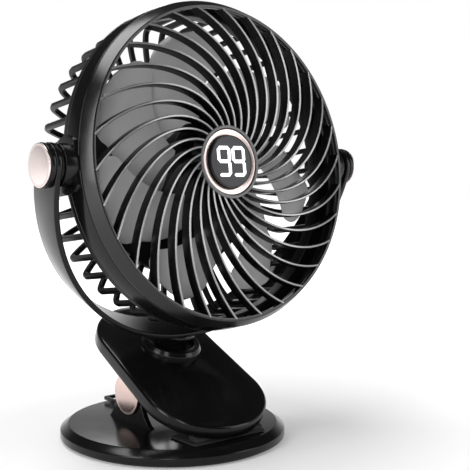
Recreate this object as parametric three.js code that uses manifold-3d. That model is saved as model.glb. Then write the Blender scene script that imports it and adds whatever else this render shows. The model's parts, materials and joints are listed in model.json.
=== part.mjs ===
// A rechargeable clip fan in millimetres, +Z up, with the fan's front towards -Y.
// The origin is the centre of the foot pad's underside. A round base is the lower jaw of a clip;
// a sprung upper jaw carries a swivelling half-ring yoke, and the yoke carries the tilting head.
import * as THREE from 'three';
import { mergeVertices } from 'three/addons/utils/BufferGeometryUtils.js';
import Module from 'manifold-3d';

const wasm = await Module();
wasm.setup();

// ---------------------------------------------------------------------------------------------
// Driving dimensions
// ---------------------------------------------------------------------------------------------
const GAP = 0.3; // between neighbouring pieces
const SMOOTHING = 0.04; // how far a surface may move when needless corners are dropped

// Steps round a full turn
const BROAD = 48; // for the base and the head
const MIDDLE = 32; // for hubs, the display and the collar
const SMALL = 20; // for knobs, caps and washers
const TINY = 10; // for bores, bolts and pins

// Base
const BASE_R = 62.5;
const BASE_CHAMFER = 4.4; // how far the chamfer draws the top in
const FOOT_PAD_INSET = 3.0;
const FOOT_PAD_T = 1.2;
const BASE_SIDE_TOP = 5.4; // where the side wall meets the chamfer
const BASE_TOP = 8.5;
const BASE_WALL = 2.0;
const BASE_ROOF = 1.8;
const PAN_T = 1.4;
const CELL_SPACE = 5.8; // between the cell and the charge board
const CELL_LENGTH = 80;
const CELL_T = 3.1;
const CELL_CORNER_R = 3;
const BOARD_T = 1.2;
const CHARGE_BOARD_WIDTH = 24;
const CHARGE_BOARD_LENGTH = 20;
const USB_WIDTH = 9.0;
const USB_HEIGHT = 3.2;
const USB_DEPTH = 7.4;
const USB_WALL = 0.4;
const LOWER_PAD_HALF_WIDTH = 23.5;
const LOWER_PAD_INSET = 7.1; // from the edge of the base's top
const LOWER_PAD_LENGTH = 21;
const LOWER_PAD_T = 1.2;
const PAD_CORNER_R = 4;

// Hinge between the jaws
const HINGE_Y = 10;
const HINGE_Z = 24;
const CHEEK_INNER = 20.2; // half the space between the cheeks
const CHEEK_T = 3.0;
const CHEEK_R = 12.2;
const CHEEK_FOOT_FRONT = 23; // foot length ahead of the hinge
const CHEEK_FOOT_BACK = 20;
const PIN_R = 2.8;
const HINGE_CAP_R = 11.3;
const HINGE_CAP_T = 1.1;
const CAP_DOME = 0.8; // rise of every rose-gold cap at its centre
const SPRING_COIL_R = 5.2;
const SPRING_WIRE_R = 0.8;
const SPRING_TURNS = 6;
const SPRING_PITCH = 2.4;

// Hanging bail
const BAIL_INSET = 14.5; // from the edge of the base's top to the pivot
const BAIL_HALF_WIDTH = 9.2;
const BAIL_ARM = 2.4;
const BAIL_REACH = 15.6; // from the pivot to the outside of the bar
const BAIL_T = 2.0;
const BAIL_LIFT = 0.8; // over the base's top
const BAIL_STUB_R = 0.9;
const KNUCKLE_LENGTH = 4.0;

// Upper jaw, in its own frame: the hinge is the origin and the plate's rim lies flat
const JAW_TILT = 26;
const JAW_RIM_Z = 22.4; // rim above the hinge
const JAW_FRONT = 64;
const JAW_BACK = 50.5;
const JAW_HALF_WIDTH = 36.5;
const JAW_BACK_HALF_WIDTH = 34.8;
const JAW_NOSE = 31.6; // length of the rounded front
const JAW_TAIL = 33; // length of the rounded back
const JAW_RIM_H = 6.3;
const JAW_BEVEL = 1.3;
const JAW_BEVEL_RISE = 0.9;
const JAW_CROWN = 4.5;
const JAW_WALL = 2.0;
const LUG_OUTER = 19.7;
const LUG_T = 4.7;
const LUG_R = 9.0;
const LUG_ROOT = 17; // half the lug's length where it meets the plate
const UPPER_PAD_HALF_WIDTH = 22;
const UPPER_PAD_FRONT = 50.5; // in the base's frame
const UPPER_PAD_LENGTH = 6.5;

// Swivel
const SWIVEL_LEAN = 19.5;
const SWIVEL_Y = 4.0; // on the plate, behind the hinge
const COLLAR_R = 17.2;
const COLLAR_TOP_R = 15.8;
const COLLAR_H = 3.6;
const COLLAR_RECESS_R = 12.9;
const COLLAR_RECESS = 2.4;
const NECK_R = 8.7;
const NECK_TOP_R = 12.4;
const NECK_LENGTH = 6.5; // from the collar to the yoke
const SWIVEL_WASHER_R = 11.5;
const SWIVEL_WASHER_T = 1.5;
const SWIVEL_SCREW_R = 1.6;

// Yoke
const YOKE_CLEARANCE = 7.4; // between the head's band and the half ring
const YOKE_T = 2.8;
const YOKE_WIDTH = 21.4;
const YOKE_CHAMFER = 0.5;

// Tilt pivots
const BOSS_R = 10.4;
const BOSS_PAD_R = 14;
const TILT_WASHER_R = 9.2;
const TILT_WASHER_T = 1.0;
const TILT_PLAY = 0.8; // between the washer and the yoke
const KNOB_T = 2.4;
const TILT_CAP_R = 10.3;
const TILT_CAP_T = 0.9;
const BOLT_R = 2.0;
const BOLT_HEAD_R = 4.0;
const BOLT_HEAD_T = 1.2;
const BOLT_DEPTH = 5.0; // into the boss

// Head, in its own frame: the pivot is the origin, x to the right, y up, z out of the front
const HEAD_TILT = 7.5;
const BAND_BACK_R = 85.6;
const BAND_TAPER = 1.5; // how much smaller the band's front radius is
const BAND_BACK = 0.9;
const BAND_FRONT = 10.0;
const BAND_WALL = 3.0;
const RIM_WIDTH = 5.1;
const RIM_FACE = 16.8; // the front rim's foremost face
const RIM_FACE_WIDTH = 1.8;
const RIM_SHOULDER = 4.2; // the depth of its rounded shoulder
const RIM_EDGE = 1.6;
const RIM_LIP = 2.0;
const SPOKES = 30;
const SPOKE_WIDTH = 1.5;
const SPOKE_DEPTH = 6.0; // from the domed front edge to the rear one
const SPOKE_PHASE = 3.4; // angle of a spoke's end at the rim
const SWIRL_LINEAR = 47.5; // degrees over a length of one rim radius
const SWIRL_LOG = 17.8; // degrees per unit of ln(radius)
const DOME_RISE = 5.0; // of the spokes between the display cup and the rim
const DOME_POWER = 0.8;
const CUP_R = 18.9;
const CUP_BACK = 8.5;
const CUP_FRONT = 17.2;
const CUP_WALL = 1.8;
const CUP_FLOOR_T = 1.7;
const DISPLAY_BOARD_BACK = 2.0; // from the back of the cup
const DISPLAY_BACK = 4.0; // of the lens and the bezel, from the back of the cup
const BEZEL_INNER_R = 13.4;
const BEZEL_FRONT = 17.7;
const LENS_FRONT = 15.4;
const REAR_BARS = 44;
const REAR_BAR_WIDTH = 2.8;
const REAR_BAR_DEPTH = 3.0;
const REAR_RING_BACK = 2.8; // behind the pivot
const CAGE_INSET = 4.7; // how far the cage stands in from the band
const CAGE_BACK = 35.4;
const CAGE_CORNER = 5.5;
const CAGE_DISH = 1.6; // how far the hub stands behind the bars' corner
const REAR_SWIRL = 12;
const HUB_R = 54;
const HUB_WALL = 4.0;
const HUB_DEPTH = 6.0; // from the floor's front to the rear of the hub's wall
const HUB_FLOOR_T = 2.5;
const TUBE_R = 6.2;
const TUBE_FRONT = 3.0;
const BEARING_R = 4.0;
const BEARING_T = 3.0;
const SHAFT_R = 1.5;
const STATOR_FRONT = 3.6;
const STATOR_BACK = 11.0;
const STATOR_TEETH = 9;
const CONTROL_BOARD_R = 26;
const POST_R = 2.2;
const BOARD_POST = 1.0; // the posts' height
const COVER_BULGE = 7.0;
const COVER_WALL = 2.0;
const BUTTON_R = 6.0;
const BUTTON_FLANGE = 1.6;
const BUTTON_PROUD = 1.4;
const BUTTON_TRAVEL = 1.0;

// Impeller
const BLADES = 7;
const BLADE_CLEARANCE = 6.9; // between the blades' tips and the cage
const BLADE_T = 1.6;
const BLADE_CAMBER = 3.0;
const BLADE_SHOULDER = 0.69; // share of a blade's length over which it sweeps forward
const BLADE_SWEEP = 38; // degrees
const BLADE_LEAD_SPAN = 21; // degrees from the blade's middle to its leading edge
const BLADE_LEAD_CUT = 16.5; // degrees that the tip loses there
const BLADE_LEAD_ROUND = 4; // power of that cut
const BLADE_TRAIL_SPAN = 23;
const BLADE_TRAIL_CUT = 15.7;
const BLADE_TRAIL_ROUND = 2;
const BLADE_TURN = 145; // where the first blade stands
const BLADE_LEAD = 3.0; // how far the leading edge stands ahead of the pivot
const BLADE_TRAIL = 13.0; // how far the trailing edge lies behind it
const FAN_HUB_R = 26;
const FAN_HUB_FRONT = 4.5;
const FAN_HUB_BACK = 13.0;
const FAN_HUB_WALL = 2.0;
const ROTOR_T = 1.8;
const AIR_GAP = 0.5; // between the stator and the rotor

// ---------------------------------------------------------------------------------------------
// Values that follow from them
// ---------------------------------------------------------------------------------------------
const BASE_TOP_R = BASE_R - BASE_CHAMFER;
const FOOT_PAD_R = BASE_R - FOOT_PAD_INSET;
const CHARGE_BOARD_END = BASE_R - USB_DEPTH - 1 - GAP;
const CELL_HALF_WIDTH = CHARGE_BOARD_END - CHARGE_BOARD_LENGTH - CELL_SPACE;
const BAIL_PIVOT_Y = BASE_TOP_R - BAIL_INSET;
const LOWER_PAD_FRONT = BASE_TOP_R - LOWER_PAD_INSET;
const BAND_FRONT_R = BAND_BACK_R - BAND_TAPER;
const RIM_INNER_R = BAND_FRONT_R - RIM_WIDTH;
const SPOKE_END_R = RIM_INNER_R + 1; // where the spokes run into the rim
const CAGE_R = BAND_BACK_R - CAGE_INSET;
const CAGE_HUB_BACK = CAGE_BACK + CAGE_DISH;
const HUB_FLOOR_FRONT = CAGE_HUB_BACK - HUB_DEPTH;
const BLADE_TIP_R = CAGE_R - REAR_BAR_DEPTH - BLADE_CLEARANCE;
const ROTOR_R = FAN_HUB_R - FAN_HUB_WALL - GAP;
const STATOR_R = ROTOR_R - ROTOR_T - AIR_GAP;
const YOKE_R = BAND_BACK_R + YOKE_CLEARANCE; // inside of the half ring
const PAN_BOTTOM = FOOT_PAD_T + GAP;
const PAN_TOP = PAN_BOTTOM + PAN_T;
const JAW_MID_Y = (JAW_BACK - JAW_FRONT) / 2;
const YOKE_OUTER = YOKE_R + YOKE_T;
const SWIVEL_ARM = COLLAR_H + NECK_LENGTH + YOKE_OUTER; // from the plate to the pivot
const BOSS_FACE = YOKE_R - TILT_PLAY - TILT_WASHER_T - GAP;
const BAIL_Z = BASE_TOP + BAIL_LIFT + BAIL_T / 2;

// ---------------------------------------------------------------------------------------------
// Materials
// ---------------------------------------------------------------------------------------------
function finish(color, roughness, metalness) {
  return new THREE.MeshStandardMaterial({ color, roughness, metalness, flatShading: true });
}

const glossBlack = finish(0x0b0b0c, 0.22, 0);
const satinBlack = finish(0x141415, 0.42, 0);
const spokeBlack = finish(0x2a2a2b, 0.3, 0);
const fanGrey = finish(0x6e6e6e, 0.4, 0);
const roseGold = finish(0xd9b3a6, 0.22, 1);
const rubberBlack = finish(0x111111, 0.85, 0);
const lensBlack = finish(0x17181a, 0.1, 0);
const steel = finish(0xb9bcc0, 0.3, 1);
const boardGreen = finish(0x14532d, 0.5, 0);
const copper = finish(0xb87333, 0.35, 1);
const pouchSilver = finish(0xa9adb2, 0.45, 0.6);

// ---------------------------------------------------------------------------------------------
// Solid-making helpers
// ---------------------------------------------------------------------------------------------
function signedVolume(position, triangles) {
  let sum = 0;
  for (let k = 0; k < triangles.length; k += 3) {
    const [a, b, c] = [0, 1, 2].map((n) => new THREE.Vector3().fromArray(position, 3 * triangles[k + n]));
    sum += a.dot(b.cross(c));
  }
  return sum / 6;
}

// A closed geometry as a solid, with its faces turned outwards.
function solid(geometry) {
  const bare = new THREE.BufferGeometry();
  bare.setAttribute('position', geometry.getAttribute('position').clone());
  if (geometry.index) bare.setIndex(geometry.index.clone());
  const merged = mergeVertices(bare, 1e-4);
  const position = merged.getAttribute('position').array;
  const triangles = [];
  for (let k = 0; k < merged.index.count; k += 3) {
    const [a, b, c] = [0, 1, 2].map((n) => merged.index.getX(k + n));
    if (a !== b && b !== c && c !== a) triangles.push(a, b, c);
  }
  if (signedVolume(position, triangles) < 0) triangles.reverse();
  const mesh = new wasm.Mesh({
    numProp: 3,
    vertProperties: new Float32Array(position),
    triVerts: new Uint32Array(triangles),
  });
  return new wasm.Manifold(mesh);
}

function join(...parts) {
  return parts.reduce((whole, part) => whole.add(part));
}

function cut(body, ...tools) {
  return tools.reduce((rest, tool) => rest.subtract(tool), body);
}

// Turns a profile of [radius, z] points round the Z axis.
function revolve(profile, segments = MIDDLE) {
  const points = profile.map(([r, z]) => new THREE.Vector2(r, z));
  const [first, last] = [profile[0], profile[profile.length - 1]];
  if (first[0] > 0 || last[0] > 0) points.push(points[0].clone());
  return solid(new THREE.LatheGeometry(points, segments).rotateX(Math.PI / 2));
}

function disc(radius, z0, z1, segments = MIDDLE) {
  return revolve([[0, z0], [radius, z0], [radius, z1], [0, z1]], segments);
}

// The space round a shaft of this radius: its flats, and not its corners, stand a gap away.
function hole(radius, z0, z1, segments = TINY) {
  return disc((radius + GAP) / Math.cos(Math.PI / segments), z0, z1, segments);
}

function ring(inner, outer, z0, z1, segments = MIDDLE) {
  return revolve([[inner, z0], [outer, z0], [outer, z1], [inner, z1]], segments);
}

function box(x0, x1, y0, y1, z0, z1) {
  const geometry = new THREE.BoxGeometry(x1 - x0, y1 - y0, z1 - z0);
  return solid(geometry.translate((x0 + x1) / 2, (y0 + y1) / 2, (z0 + z1) / 2));
}

function extrude(shape, z0, z1, curveSegments = 12) {
  const geometry = new THREE.ExtrudeGeometry(shape, { depth: z1 - z0, bevelEnabled: false, curveSegments });
  return solid(geometry.translate(0, 0, z0));
}

// Lays a solid that was made along Z so that it points along X, its x and y becoming y and z.
const ALONG_X = [0, 1, 0, 0, 0, 0, 1, 0, 1, 0, 0, 0, 0, 0, 0, 1];

function alongX(body) {
  return body.transform(ALONG_X);
}

function mirrored(body) {
  return body.mirror([1, 0, 0]);
}

function bothSides(body) {
  return join(body, mirrored(body));
}

function roundedRectangle(x0, x1, y0, y1, radius) {
  const shape = new THREE.Shape();
  shape.moveTo(x0 + radius, y0);
  shape.lineTo(x1 - radius, y0);
  shape.absarc(x1 - radius, y0 + radius, radius, -Math.PI / 2, 0);
  shape.lineTo(x1, y1 - radius);
  shape.absarc(x1 - radius, y1 - radius, radius, 0, Math.PI / 2);
  shape.lineTo(x0 + radius, y1);
  shape.absarc(x0 + radius, y1 - radius, radius, Math.PI / 2, Math.PI);
  shape.lineTo(x0, y0 + radius);
  shape.absarc(x0 + radius, y0 + radius, radius, Math.PI, 1.5 * Math.PI);
  return shape;
}

// A closed body over two grids of points that share their layout.
function gridBody(upper, lower) {
  const rows = upper.length;
  const columns = upper[0].length;
  const points = [...upper.flat(), ...lower.flat()];
  const at = (side, i, j) => side * rows * columns + i * columns + j;
  const faces = [];
  const quad = (a, b, c, d) => faces.push(a, b, c, a, c, d);
  for (let i = 0; i < rows - 1; i += 1) {
    for (let j = 0; j < columns - 1; j += 1) {
      quad(at(0, i, j), at(0, i + 1, j), at(0, i + 1, j + 1), at(0, i, j + 1));
      quad(at(1, i, j), at(1, i, j + 1), at(1, i + 1, j + 1), at(1, i + 1, j));
    }
    quad(at(0, i, 0), at(1, i, 0), at(1, i + 1, 0), at(0, i + 1, 0));
    const last = columns - 1;
    quad(at(0, i, last), at(0, i + 1, last), at(1, i + 1, last), at(1, i, last));
  }
  for (let j = 0; j < columns - 1; j += 1) {
    const last = rows - 1;
    quad(at(0, 0, j), at(0, 0, j + 1), at(1, 0, j + 1), at(1, 0, j));
    quad(at(0, last, j), at(1, last, j), at(1, last, j + 1), at(0, last, j + 1));
  }
  const geometry = new THREE.BufferGeometry();
  geometry.setAttribute('position', new THREE.Float32BufferAttribute(points.flatMap((p) => p.toArray()), 3));
  geometry.setIndex(faces);
  return solid(geometry);
}

// A closed body through rings of points; a ring of one point closes it as a cone.
function loft(rings) {
  const points = rings.flat();
  const starts = [];
  rings.reduce((start, r) => {
    starts.push(start);
    return start + r.length;
  }, 0);
  const faces = [];
  for (let k = 0; k < rings.length - 1; k += 1) {
    const count = rings[k].length;
    const single = rings[k + 1].length === 1;
    for (let i = 0; i < count; i += 1) {
      const next = (i + 1) % count;
      const [a, b] = [starts[k] + i, starts[k] + next];
      if (single) {
        faces.push(a, b, starts[k + 1]);
      } else {
        faces.push(a, b, starts[k + 1] + next, a, starts[k + 1] + next, starts[k + 1] + i);
      }
    }
  }
  const caps = [0, rings.length - 1].filter((k) => rings[k].length > 1);
  for (const k of caps) {
    for (let i = 1; i < rings[k].length - 1; i += 1) {
      const fan = [starts[k], starts[k] + i, starts[k] + i + 1];
      faces.push(...(k === 0 ? fan.reverse() : fan));
    }
  }
  const geometry = new THREE.BufferGeometry();
  geometry.setAttribute('position', new THREE.Float32BufferAttribute(points.flatMap((p) => p.toArray()), 3));
  geometry.setIndex(faces);
  return solid(geometry);
}

// A bar of rectangular section; each station gives the middle of its outer and inner edges.
function bar(stations, width) {
  const middles = stations.map(({ outer, inner }) => outer.clone().add(inner).multiplyScalar(0.5));
  const rings = stations.map(({ outer, inner }, k) => {
    const before = middles[Math.max(k - 1, 0)];
    const after = middles[Math.min(k + 1, middles.length - 1)];
    const tangent = after.clone().sub(before);
    const side = tangent.cross(inner.clone().sub(outer)).setLength(width / 2);
    return [
      outer.clone().add(side),
      outer.clone().sub(side),
      inner.clone().sub(side),
      inner.clone().add(side),
    ];
  });
  return loft(rings);
}

// A round wire through points, with its ends closed.
function wire(points, radius, sides) {
  let up = new THREE.Vector3(1, 0, 0);
  const rings = points.map((point, k) => {
    const before = points[Math.max(k - 1, 0)];
    const after = points[Math.min(k + 1, points.length - 1)];
    const tangent = after.clone().sub(before).normalize();
    up = up.addScaledVector(tangent, -up.dot(tangent)).normalize();
    const side = tangent.clone().cross(up);
    return Array.from({ length: sides }, (_, i) => {
      const turn = (2 * Math.PI * i) / sides;
      return point
        .clone()
        .addScaledVector(up, radius * Math.cos(turn))
        .addScaledVector(side, radius * Math.sin(turn));
    });
  });
  return loft(rings);
}

function polar(radius, degrees, z) {
  const turn = THREE.MathUtils.degToRad(degrees);
  return new THREE.Vector3(radius * Math.cos(turn), radius * Math.sin(turn), z);
}

function range(count) {
  return Array.from({ length: count }, (_, k) => k);
}

// Copies of a solid, turned about Z in equal steps.
function around(body, count) {
  return range(count).map((k) => body.rotate([0, 0, (360 * k) / count]));
}

function mesh(name, body, material) {
  const { vertProperties, triVerts } = body.simplify(SMOOTHING).getMesh();
  const geometry = new THREE.BufferGeometry();
  geometry.setAttribute('position', new THREE.BufferAttribute(new Float32Array(vertProperties), 3));
  geometry.setIndex(new THREE.BufferAttribute(new Uint32Array(triVerts), 1));
  geometry.computeVertexNormals();
  const made = new THREE.Mesh(geometry, material);
  made.name = name;
  return made;
}

// ---------------------------------------------------------------------------------------------
// Base
// ---------------------------------------------------------------------------------------------
function cheekProfile(radius, halfFront, halfBack, foot) {
  const shape = new THREE.Shape();
  shape.moveTo(HINGE_Y - halfFront, foot);
  shape.quadraticCurveTo(HINGE_Y - radius - 1.5, BASE_TOP + 3, HINGE_Y - radius, HINGE_Z);
  shape.absarc(HINGE_Y, HINGE_Z, radius, Math.PI, 0, true);
  shape.quadraticCurveTo(HINGE_Y + radius + 1.5, BASE_TOP + 3, HINGE_Y + halfBack, foot);
  return shape;
}

function usbOpening(clearance) {
  const middle = (PAN_BOTTOM + BASE_SIDE_TOP) / 2;
  const reach = USB_WIDTH / 2 + clearance;
  const rise = USB_HEIGHT / 2 + clearance / 2;
  return box(BASE_R - USB_DEPTH - 1, BASE_R + 1, -reach, reach, middle - rise, middle + rise);
}

function makeBaseCover() {
  const inside = BASE_R - BASE_WALL;
  const roof = BASE_TOP - BASE_ROOF;
  const shell = revolve([
    [0, BASE_TOP],
    [BASE_TOP_R, BASE_TOP],
    [BASE_R, BASE_SIDE_TOP],
    [BASE_R, PAN_BOTTOM],
    [inside, PAN_BOTTOM],
    [inside, BASE_SIDE_TOP - 0.8],
    [BASE_TOP_R - 0.8, roof],
    [0, roof],
  ], BROAD);
  const profile = cheekProfile(CHEEK_R, CHEEK_FOOT_FRONT, CHEEK_FOOT_BACK, BASE_TOP - 0.6);
  const cheek = alongX(extrude(profile, CHEEK_INNER, CHEEK_INNER + CHEEK_T, 6));
  const bore = alongX(hole(PIN_R, CHEEK_INNER - 1, CHEEK_INNER + CHEEK_T + 1))
    .translate([0, HINGE_Y, HINGE_Z]);
  const knuckleHalf = BAIL_HALF_WIDTH - BAIL_ARM - 0.4;
  const knuckle = box(
    -knuckleHalf,
    knuckleHalf,
    BAIL_PIVOT_Y - KNUCKLE_LENGTH / 2,
    BAIL_PIVOT_Y + KNUCKLE_LENGTH / 2,
    BASE_TOP - 0.6,
    BAIL_Z + BAIL_T,
  );
  const stubBore = alongX(hole(BAIL_STUB_R, knuckleHalf - 1.8, knuckleHalf + 1))
    .translate([0, BAIL_PIVOT_Y, BAIL_Z]);
  const body = join(shell, bothSides(cheek), knuckle);
  return cut(body, bothSides(bore), bothSides(stubBore), usbOpening(GAP));
}

function makeBasePan() {
  const plate = disc(BASE_R - BASE_WALL - GAP, PAN_BOTTOM, PAN_TOP, BROAD);
  return cut(plate, usbOpening(2 * GAP));
}

function makeUsbSocket() {
  const middle = (PAN_BOTTOM + BASE_SIDE_TOP) / 2;
  const outline = (inset) => roundedRectangle(
    -USB_WIDTH / 2 + inset,
    USB_WIDTH / 2 - inset,
    -USB_HEIGHT / 2 + inset,
    USB_HEIGHT / 2 - inset,
    USB_HEIGHT / 2 - inset - 0.01,
  );
  const x1 = BASE_R - 0.4;
  const x0 = x1 - USB_DEPTH + 1;
  const shell = alongX(extrude(outline(0), x0, x1, 3));
  const mouth = alongX(extrude(outline(USB_WALL), x0 + 1.2, x1 + 1, 3));
  const tongue = box(x0 + 0.6, x1 - 0.8, -USB_WIDTH / 3, USB_WIDTH / 3, -0.35, 0.35);
  return join(cut(shell, mouth), tongue).translate([0, 0, middle]);
}

function makeJawSpring() {
  const steps = 8;
  const count = SPRING_TURNS * steps;
  const half = (SPRING_TURNS * SPRING_PITCH) / 2;
  const coil = range(count + 1).map((k) => {
    const turn = (2 * Math.PI * k) / steps;
    const x = -half + (SPRING_PITCH * k) / steps;
    const y = HINGE_Y + SPRING_COIL_R * Math.cos(turn);
    return new THREE.Vector3(x, y, HINGE_Z - SPRING_COIL_R * Math.sin(turn));
  });
  const seat = BASE_TOP + SPRING_WIRE_R + GAP;
  const lower = [
    new THREE.Vector3(-half - SPRING_WIRE_R, HINGE_Y + SPRING_COIL_R + 4, seat),
    new THREE.Vector3(-half - SPRING_WIRE_R, HINGE_Y + SPRING_COIL_R + 1, HINGE_Z - SPRING_COIL_R - 3),
  ];
  const under = jawPoint(SPRING_COIL_R + 9, JAW_RIM_Z - JAW_RIM_H - SPRING_WIRE_R - GAP);
  const upper = [
    new THREE.Vector3(half + SPRING_WIRE_R, HINGE_Y + SPRING_COIL_R + 1, HINGE_Z + 4),
    new THREE.Vector3(half + SPRING_WIRE_R, under.y, under.z),
  ];
  reportSpringGap(coil);
  return wire([...lower, ...coil, ...upper], SPRING_WIRE_R, 5);
}

// Prints the least gap between neighbouring curls of the spring.
function reportSpringGap(coil) {
  let least = Infinity;
  coil.forEach((a, i) => {
    coil.slice(i + 5).forEach((b) => {
      least = Math.min(least, a.distanceTo(b));
    });
  });
  console.log(`jaw_spring: least gap to itself ${(least - 2 * SPRING_WIRE_R).toFixed(2)} mm`);
}

// A domed disc whose flat back lies at z = 0.
function capDisc(radius, thickness) {
  return revolve([
    [0, 0],
    [radius, 0],
    [radius, thickness - 0.3],
    [radius - 0.3, thickness],
    [radius * 0.6, thickness + CAP_DOME * 0.65],
    [0, thickness + CAP_DOME],
  ], SMALL);
}

function makeHingeCap() {
  return alongX(capDisc(HINGE_CAP_R, HINGE_CAP_T))
    .translate([CHEEK_INNER + CHEEK_T + GAP, HINGE_Y, HINGE_Z]);
}

function addBase(group) {
  const cellZ = PAN_TOP + GAP;
  const cell = extrude(
    roundedRectangle(
      -CELL_HALF_WIDTH,
      CELL_HALF_WIDTH,
      -CELL_LENGTH / 2,
      CELL_LENGTH / 2,
      CELL_CORNER_R,
    ),
    cellZ,
    cellZ + CELL_T,
    3,
  );
  const board = box(
    CHARGE_BOARD_END - CHARGE_BOARD_LENGTH,
    CHARGE_BOARD_END,
    -CHARGE_BOARD_WIDTH / 2,
    CHARGE_BOARD_WIDTH / 2,
    cellZ,
    cellZ + BOARD_T,
  );
  const padZ = BASE_TOP + GAP;
  const pad = extrude(
    roundedRectangle(
      -LOWER_PAD_HALF_WIDTH,
      LOWER_PAD_HALF_WIDTH,
      -LOWER_PAD_FRONT,
      -LOWER_PAD_FRONT + LOWER_PAD_LENGTH,
      PAD_CORNER_R,
    ),
    padZ,
    padZ + LOWER_PAD_T,
    2,
  );
  const pinHalf = CHEEK_INNER + CHEEK_T;
  const pin = alongX(disc(PIN_R, -pinHalf, pinHalf, TINY)).translate([0, HINGE_Y, HINGE_Z]);
  const cap = makeHingeCap();
  group.add(
    mesh('foot_pad', disc(FOOT_PAD_R, 0, FOOT_PAD_T, BROAD), rubberBlack),
    mesh('base_pan', makeBasePan(), satinBlack),
    mesh('base_cover', makeBaseCover(), glossBlack),
    mesh('battery_cell', cell, pouchSilver),
    mesh('charge_board', board, boardGreen),
    mesh('usb_socket', makeUsbSocket(), steel),
    mesh('lower_jaw_pad', pad, rubberBlack),
    mesh('hinge_pin', pin, steel),
    mesh('hinge_cap_left', mirrored(cap), roseGold),
    mesh('hinge_cap_right', cap, roseGold),
    mesh('jaw_spring', makeJawSpring(), steel),
  );
}

// The bail lies folded back over the base, its stubs in the knuckle.
function addBail(group) {
  const shape = new THREE.Shape();
  const inner = BAIL_HALF_WIDTH - BAIL_ARM;
  const corner = 2.2;
  shape.moveTo(BAIL_HALF_WIDTH, -BAIL_T / 2);
  shape.lineTo(BAIL_HALF_WIDTH, BAIL_REACH - corner);
  shape.absarc(BAIL_HALF_WIDTH - corner, BAIL_REACH - corner, corner, 0, Math.PI / 2);
  shape.lineTo(-BAIL_HALF_WIDTH + corner, BAIL_REACH);
  shape.absarc(-BAIL_HALF_WIDTH + corner, BAIL_REACH - corner, corner, Math.PI / 2, Math.PI);
  shape.lineTo(-BAIL_HALF_WIDTH, -BAIL_T / 2);
  shape.lineTo(-inner, -BAIL_T / 2);
  shape.lineTo(-inner, BAIL_REACH - BAIL_ARM);
  shape.lineTo(inner, BAIL_REACH - BAIL_ARM);
  shape.lineTo(inner, -BAIL_T / 2);
  const loop = extrude(shape, -BAIL_T / 2, BAIL_T / 2, 3);
  const stub = alongX(disc(BAIL_STUB_R, inner - 1.6, inner + 0.5, TINY));
  const body = join(loop, bothSides(stub)).translate([0, BAIL_PIVOT_Y, BAIL_Z]);
  group.add(mesh('hang_bail', body, satinBlack));
}

// ---------------------------------------------------------------------------------------------
// Upper jaw
// ---------------------------------------------------------------------------------------------
// A point of the jaw's own frame, on its middle plane, in the base's frame.
function jawPoint(y, z) {
  const tilt = THREE.MathUtils.degToRad(JAW_TILT);
  return new THREE.Vector3(
    0,
    HINGE_Y + y * Math.cos(tilt) - z * Math.sin(tilt),
    HINGE_Z + y * Math.sin(tilt) + z * Math.cos(tilt),
  );
}

// The plate's rounded outline, drawn in by an inset and shrunk about its middle.
function jawRing(inset, scale, z) {
  const steps = 16;
  const frontMid = -JAW_FRONT + JAW_NOSE;
  const backMid = JAW_BACK - JAW_TAIL;
  const front = range(steps).map((k) => {
    const turn = Math.PI + (Math.PI * k) / (steps - 1);
    return [(JAW_HALF_WIDTH - inset) * Math.cos(turn), frontMid + (JAW_NOSE - inset) * Math.sin(turn)];
  });
  const back = range(steps).map((k) => {
    const turn = (Math.PI * k) / (steps - 1);
    return [(JAW_BACK_HALF_WIDTH - inset) * Math.cos(turn), backMid + (JAW_TAIL - inset) * Math.sin(turn)];
  });
  return [...front, ...back].map(([x, y]) => {
    return new THREE.Vector3(x * scale, JAW_MID_Y + (y - JAW_MID_Y) * scale, z);
  });
}

function crownHeight(scale, bevelRise, crown) {
  return bevelRise + (crown - bevelRise) * (1 - scale * scale);
}

// The crowned plate as a full solid, from z0 up; an inset and a drop make its hollow.
function crownedPlate(inset, z0, drop) {
  const levels = [0.78, 0.5];
  return loft([
    jawRing(inset, 1, z0),
    jawRing(inset, 1, JAW_RIM_Z - drop),
    jawRing(inset + JAW_BEVEL, 1, JAW_RIM_Z + JAW_BEVEL_RISE - drop),
    ...levels.map((s) => {
      const z = JAW_RIM_Z + crownHeight(s, JAW_BEVEL_RISE, JAW_CROWN) - drop;
      return jawRing(inset + JAW_BEVEL, s, z);
    }),
    [new THREE.Vector3(0, JAW_MID_Y, JAW_RIM_Z + JAW_CROWN - drop)],
  ]);
}

// Height of the crown where the swivel stands, in the jaw's frame.
function swivelSeat() {
  const share = (SWIVEL_Y - JAW_MID_Y) / (JAW_BACK - JAW_MID_Y);
  return JAW_RIM_Z + crownHeight(share, JAW_BEVEL_RISE, JAW_CROWN);
}

// Moves a solid made on the swivel axis, its seat at z = 0, into the jaw's frame.
function onSwivel(body) {
  return body.rotate([SWIVEL_LEAN - JAW_TILT, 0, 0]).translate([0, SWIVEL_Y, swivelSeat()]);
}

function makeJawCover() {
  const outer = crownedPlate(0, JAW_RIM_Z - JAW_RIM_H, 0);
  const hollow = crownedPlate(JAW_WALL, JAW_RIM_Z - JAW_RIM_H - 1, JAW_WALL);
  const neckHole = onSwivel(hole(NECK_R, -8, 4, SMALL));
  return cut(outer, hollow, neckHole);
}

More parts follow.
